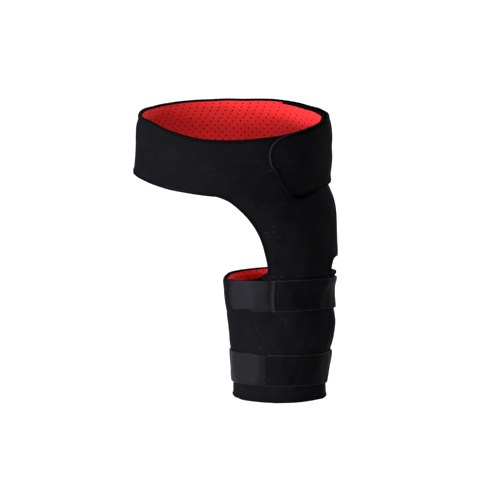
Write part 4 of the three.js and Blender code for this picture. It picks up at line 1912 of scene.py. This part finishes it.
@dataclass
class ThighStrap:
    """A strap and its hook tab."""

    workshop: Workshop
    pattern: StrapPattern
    thick: float = 2.5
    tab_thick: float = 2.0
    patch_thick: float = 1.1
    edge_sewing: float = 3.6
    sunk: float = 0.25
    tab_sunk: float = 0.05
    proud: float = 0.1
    sides: int = 41
    corner_radius: float = 1.6

    def band(self, name: str, azimuth: np.ndarray, low: np.ndarray, high: np.ndarray, thick: float,
             swell: Field, tone: Field, rim: float = 0.35, lift: float | None = None) -> bpy.types.Object:
        """A band along a run of azimuths.

        Args:
            name: The piece's name.
            azimuth: The places along it.
            low: How far its lower edge is below its middle at each.
            high: How far its upper edge is above it.
            thick: Its thickness.
            swell: How far its face stands out more, by the azimuth and the way across from -1 to 1.
            tone: How much lighter it is, the same way.
            rim: How deep the groove is beside each edge.
            lift: How far its back is off the wrap, or None for the strap's own lift.

        Returns:
            The band.
        """
        half = self.pattern.width / 2
        share = np.sin(np.linspace(-np.pi / 2, np.pi / 2, self.sides))
        crown = thick * (1 - np.abs(share) ** 40 * 0.7)
        inwards = (1 - np.abs(share)) * half
        groove = rim * np.exp(-((inwards - self.edge_sewing) / 1.1) ** 2)
        under = np.linspace(1, -1, 9)[1:-1] * 0.995
        across = np.concatenate([share, under])
        face = np.concatenate([crown - groove, np.zeros(len(under))])
        on_face = np.concatenate([np.ones(len(share)), np.zeros(len(under))])
        reach = np.where(across < 0, -across * -low[:, None], across * high[:, None])
        z = self.pattern.centre(azimuth)[:, None] + reach
        around = np.broadcast_to(azimuth[:, None], z.shape)
        stand = self.pattern.lift if lift is None else lift
        side = np.broadcast_to(across, z.shape)
        out = stand + face + swell(around, side) * on_face
        return swept_mesh(name, SHAPE.place(around, z, out), closed=False, tone=tone(around, side))

    def welt(self, azimuth: np.ndarray) -> np.ndarray:
        """How much each place is on the welt, from 0 to 1.

        Args:
            azimuth: Degrees round the body.

        Returns:
            A share for each place.
        """
        start, stop = (self.pattern.tab + turn for turn in self.pattern.welt)
        risen = smoothstep(azimuth, start - 0.5, start + 0.5)
        return risen * (1 - smoothstep(azimuth, stop - 0.5, stop + 0.5))

    def strap_tone(self, azimuth: np.ndarray, across: np.ndarray) -> np.ndarray:
        """Lighter lines along the strap's two edges, from a slightly lighter edge yarn all along and painted
        highlights in front where the key light falls, and a painted highlight on its welt.

        Args:
            azimuth: Degrees round the body.
            across: The way across the band, from -1 to 1.

        Returns:
            How much lighter each place is.
        """
        # Painted highlights: on both edges, far stronger in front, and on the welt, strongest on its ridge.
        rim = smoothstep(np.abs(across), 0.94, 0.965)
        front = 1 - smoothstep(azimuth, -78, -30)
        core = (azimuth - self.pattern.tab - sum(self.pattern.welt) / 2 + 0.6) / 1.3
        return (0.5 + 5.5 * front) * rim + self.welt(azimuth) * (0.8 + 3.8 * np.exp(-(core**2)))

    @staticmethod
    def knots(azimuth: np.ndarray, across: np.ndarray) -> np.ndarray:
        """The uneven puckers across the welt."""
        return np.sin(across * 11.0 + 0.8) + 0.6 * np.sin(across * 23.0 + azimuth * 0.9)

    def tab_tone(self, azimuth: np.ndarray, across: np.ndarray) -> np.ndarray:
        """Painted shade on the tab: darker at its right end, beside the welt where it is sewn on, dark on
        its free end as if that were turned down, and uneven over the welt's puckers; the upper tab is also a
        little darker from where its foot is cut back.

        Args:
            azimuth: Degrees round the body.
            across: The way across the band, from -1 to 1.

        Returns:
            How much lighter each place is.
        """
        p = self.pattern
        darker_past_cut = 0.14 * smoothstep(azimuth, p.cut_from - 0.6, p.cut_from + 0.6) if p.cut_back else 0.0
        # Painted shade beside the welt, on the free end as though it were turned down while the tab stays
        # flat, and over the welt's puckers.
        painted_shade_by_welt = 0.34 * smoothstep(azimuth, p.tab + p.welt[0] - 7.5, p.tab + p.welt[0] - 2.5)
        turned = 0.5 * (1 - smoothstep(azimuth, p.end + 2.6, p.end + 4.2))
        puckers = 0.12 * self.knots(azimuth, across) - 0.2
        return -darker_past_cut - painted_shade_by_welt - turned + self.welt(azimuth) * puckers

    def creases(self, azimuth: np.ndarray, across: np.ndarray) -> np.ndarray:
        """The soft creases of the pulled strap, and the puckered welt.

        Args:
            azimuth: Degrees round the body.
            across: The way across the band, from -1 to 1.

        Returns:
            How far out each place stands more.
        """
        p = self.pattern
        start, stop = p.tab + p.welt[0], p.tab + p.welt[1]
        welt = self.welt(azimuth)
        before = np.exp(-((azimuth - start + 1.9) / 1.0) ** 2)
        dip = before + 0.7 * np.exp(-((azimuth - stop - 1.3) / 0.8) ** 2)
        lean = np.sin((across - 0.035 * (azimuth - stop)) * 13.0)
        pull = np.exp(-((azimuth - stop - 3.5) / 3.2) ** 2) * lean
        slow = 0.22 * np.sin(azimuth * 0.21 + across * 1.6) + 0.16 * np.sin(azimuth * 0.47 - across * 2.3)
        fold = 0.5 * np.exp(-((across + 0.72 + 0.0035 * (azimuth - p.tab)) / 0.1) ** 2)
        fold = fold * smoothstep(azimuth, p.tab, p.tab + 10)
        fold = fold * (1 - smoothstep(azimuth, p.tab + 34, p.tab + 56))
        puckers = p.pucker * (welt * self.knots(azimuth, across) + 0.6 * pull)
        return 0.85 * welt + puckers - 0.55 * dip + slow + fold * p.pucker * 2.6

    def length(self, start: float, stop: float) -> float:
        """The band's length from one azimuth to another, in metres."""
        return float(SHAPE.across(np.array(stop), np.array(self.pattern.middle), start)) * MM

    def build(self) -> None:
        """Makes the strap, its tab and their sewing."""
        p = self.pattern
        near = np.linspace(p.tab, p.tab + 14, 70)
        run = np.concatenate([near, np.linspace(p.tab + 14, STRAP_SEWN, 150)[1:]])
        full = np.full(len(run), p.width / 2)
        strap = self.band(f"{p.name}_strap_band", run, full, full, self.thick, self.creases, self.strap_tone)
        self.workshop.dress(strap, STRAP_ELASTIC, f"{p.name}_strap")
        self.length(p.tab, STRAP_SEWN)
        tab_run = self.tab_run()
        low, high = self.tab_edges(tab_run)
        tab = self.band(f"{p.name}_tab_hook", tab_run, low, high, self.tab_thick, self.creases,
                        self.tab_tone, rim=0.12)
        self.workshop.dress(tab, TAB_HOOK, f"{p.name}_tab")
        self.length(p.end, p.tab)
        if p.cut_back:
            self.patch()
        self.sew(run, tab_run)

    def tab_run(self) -> np.ndarray:
        """The places along the tab, close together at its rounded end and at its welt.

        Returns:
            Degrees round the body.
        """
        p = self.pattern
        tip = p.end + np.linspace(0, 1, 12) ** 2 * 3.2
        middle = np.linspace(p.end + 3.5, p.tab - 12, 50)
        return np.concatenate([tip, middle, np.linspace(p.tab - 12, p.tab - 0.15, 66)[1:]])

    def tab_edges(self, run: np.ndarray) -> tuple[np.ndarray, np.ndarray]:
        """How far the tab reaches from its middle, with its rounded corners and its cut-back foot.

        Args:
            run: The places along the tab.

        Returns:
            How far its lower and its upper edge are off the middle at each.
        """
        p = self.pattern
        radius = self.corner_radius
        reach = np.clip((run - p.end) * 1.4, 0, radius)
        corner = radius - np.sqrt(radius**2 - (radius - reach) ** 2)
        high = p.width / 2 - corner
        if not p.cut_back:
            return high, high
        cut = 1 - smoothstep(run, p.cut_from - 1.5, p.cut_from + 0.5)
        return high - p.cut_back * cut, high

    def patch(self) -> None:
        """The dark loop patch that the tab closes on, which shows beyond it."""
        p = self.pattern
        run = np.linspace(p.end - 46, p.tab - 6, 90)
        edge = np.full(len(run), p.width / 2 + 0.4)
        patch = self.band(f"{p.name}_loop_patch", run, edge, edge - 1.2, self.patch_thick, self.fuzz,
                          level(0.0), rim=0.1, lift=0.15)
        self.workshop.dress(patch, LOOP_PATCH)
        self.length(run[0], run[-1])
        rows = [Seam(run, p.centre(run) + side * (p.width / 2 - 2.4), 1.25) for side in (-1, 1)]
        ends = np.linspace(-p.width / 2 + 2.4, p.width / 2 - 2.4, 30)
        rows.append(Seam(np.full(30, run[0] + 1.4), p.centre(run[0] + 1.4) + ends, 1.25))
        self.workshop.stitches(f"{p.name}_patch_stitches", rows)

    @staticmethod
    def fuzz(azimuth: np.ndarray, across: np.ndarray) -> np.ndarray:
        """The loop patch's slightly uneven face."""
        return 0.08 * np.sin(azimuth * 0.6 + across * 3)

    def face(self, azimuth: np.ndarray, side: np.ndarray | float, thick: float) -> np.ndarray:
        """How far out a stitch lies on the band's face.

        Args:
            azimuth: The stitches' places.
            side: How far across, in millimetres from the middle.
            thick: The band's thickness.

        Returns:
            The height over the form.
        """
        across = np.broadcast_to(np.asarray(side) / (self.pattern.width / 2), azimuth.shape)
        return self.pattern.lift + thick + self.creases(azimuth, across)

    def sew(self, run: np.ndarray, tab_run: np.ndarray) -> None:
        """Sews the strap's edges, its joint with the tab and its end at the back.

        Args:
            run: The places along the strap.
            tab_run: The places along the tab.
        """
        p = self.pattern
        half = p.width / 2 - self.edge_sewing
        rows = []
        for side in (-1, 1):
            out = self.face(run, side * half, self.thick - self.sunk)
            rows.append(Seam(run, p.centre(run) + side * half, out))
        steps = np.linspace(-half, half, 40)
        joint = p.tab + p.welt[0] - 1.4
        thick = self.thick if joint > p.tab else self.tab_thick
        at = np.full(40, joint)
        rows.append(Seam(at, p.centre(at) + steps, self.face(at, steps, thick + self.proud)))
        for turn in (1.2, 5.2):
            at = np.full(40, STRAP_SEWN - turn)
            rows.append(Seam(at, p.centre(at) + steps, self.face(at, steps, self.thick + self.proud)))
        for side in (-1, 1):
            at = np.linspace(STRAP_SEWN - 17.0, STRAP_SEWN - 5.2, 40)
            out = self.face(at, side * steps, self.thick + self.proud)
            rows.append(Seam(at, p.centre(at) + side * steps, out))
        self.workshop.stitches(f"{p.name}_strap_stitches", rows, THREAD_DARK)
        inner = tab_run[tab_run > p.end + 3.0]
        low, high = self.tab_edges(inner)
        hooks = []
        for side, reach in ((-1, low), (1, high)):
            across = side * (reach - self.edge_sewing)
            out = self.face(inner, across, self.tab_thick - self.tab_sunk)
            hooks.append(Seam(inner, p.centre(inner) + across, out))
        self.workshop.stitches(f"{p.name}_tab_stitches", hooks, thick=0.45)


@dataclass
class Studio:
    """The pale floor, the lights and the camera."""

    look_at: tuple[float, float, float] = (0.0276, 0.0, -0.178)
    elevation: float = 12.0
    distance: float = 5.0
    width_at_brace: float = 0.8375
    sensor: float = 36.0
    floor_height: float = -0.95
    air: float = 0.18
    aim: tuple[float, float, float] = (0.03, 0.0, -0.15)

    def light(self, name: str, place: Sequence[float], aim: Sequence[float], size: tuple[float, float],
              power: float, color: Sequence[float] = (1.0, 1.0, 1.0)) -> None:
        """Adds a soft rectangular light.

        Args:
            name: The light's name.
            place: Where it stands.
            aim: What it points at.
            size: Its width and height in metres.
            power: Its power in watts.
            color: Its colour.
        """
        data = bpy.data.lights.new(name, "AREA")
        data.shape = "RECTANGLE"
        data.size, data.size_y = size
        data.energy, data.color = power, color
        lamp = placed(name, data)
        lamp.location = place
        lamp.rotation_euler = (Vector(aim) - Vector(place)).to_track_quat("-Z", "Y").to_euler()

    def floor(self) -> None:
        """A pale floor that curves up into the backdrop."""
        curve = np.linspace(0.1, 1, 10) * np.pi / 2
        depth = np.concatenate([np.linspace(-6, 3, 10), 3 + 2 * np.sin(curve), [5.0]])
        rise = np.concatenate([np.zeros(10), 2 * (1 - np.cos(curve)), [9.0]])
        points = [(x, y, self.floor_height + z) for y, z in zip(depth, rise) for x in (-9.0, 9.0)]
        faces = [(2 * i, 2 * i + 1, 2 * i + 3, 2 * i + 2) for i in range(len(depth) - 1)]
        mesh = bpy.data.meshes.new("studio_floor")
        mesh.from_pydata(points, [], faces)
        mesh.shade_smooth()
        floor = placed("studio_floor", mesh)
        material = bpy.data.materials.new("studio_paper")
        material.use_nodes = True
        paper = material.node_tree.nodes["Principled BSDF"]
        paper.inputs["Base Color"].default_value = (0.86, 0.86, 0.87, 1.0)
        paper.inputs["Roughness"].default_value = 0.9
        mesh.materials.append(material)

    def camera(self) -> None:
        """The camera at the picture's angle."""
        data = bpy.data.cameras.new("camera")
        data.sensor_width = self.sensor
        data.lens = self.sensor * self.distance / self.width_at_brace
        data.clip_end = 60.0
        camera = placed("camera", data)
        tilt = math.radians(self.elevation)
        aim = Vector(self.look_at)
        camera.location = aim + Vector((0.0, -math.cos(tilt), math.sin(tilt))) * self.distance
        camera.rotation_euler = (aim - camera.location).to_track_quat("-Z", "Y").to_euler()
        bpy.context.scene.camera = camera

    def build(self) -> None:
        """Sets up the studio."""
        scene = bpy.context.scene
        scene.view_settings.view_transform = "Standard"
        world = bpy.data.worlds.new("studio_air")
        world.use_nodes = True
        air = world.node_tree.nodes["Background"]
        air.inputs["Color"].default_value = (0.93, 0.94, 0.96, 1.0)
        air.inputs["Strength"].default_value = self.air
        scene.world = world
        self.floor()
        self.light("key", (-2.55, -1.7, 0.14), self.aim, (1.2, 0.35), 184.0, (1.0, 0.955, 1.18))
        self.light("front", (-0.5, -2.95, 0.14), self.aim, (1.0, 0.35), 46.0, (1.0, 0.98, 1.08))
        self.light("edge", (2.3, 1.5, 0.7), self.aim, (0.8, 0.4), 50.0)
        self.light("paper", (0.0, 3.0, 2.4), (0.0, 3.2, -0.9), (2.4, 2.4), 110.0)
        self.camera()


def main() -> None:
    """Builds the studio and then each sub-assembly of the brace."""
    logging.basicConfig(level=logging.INFO, format="%(message)s")
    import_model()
    Studio().build()
    workshop = Workshop()
    bindings, linings = Bindings(workshop), Linings(workshop)
    for assembly in (FrontPanel(workshop), BackBelt(workshop), ThighWrap(workshop)):
        assembly.build(bindings, linings)
    for pattern in (UPPER, LOWER):
        ThighStrap(workshop, pattern).build()


if __name__ == "__main__":
    main()
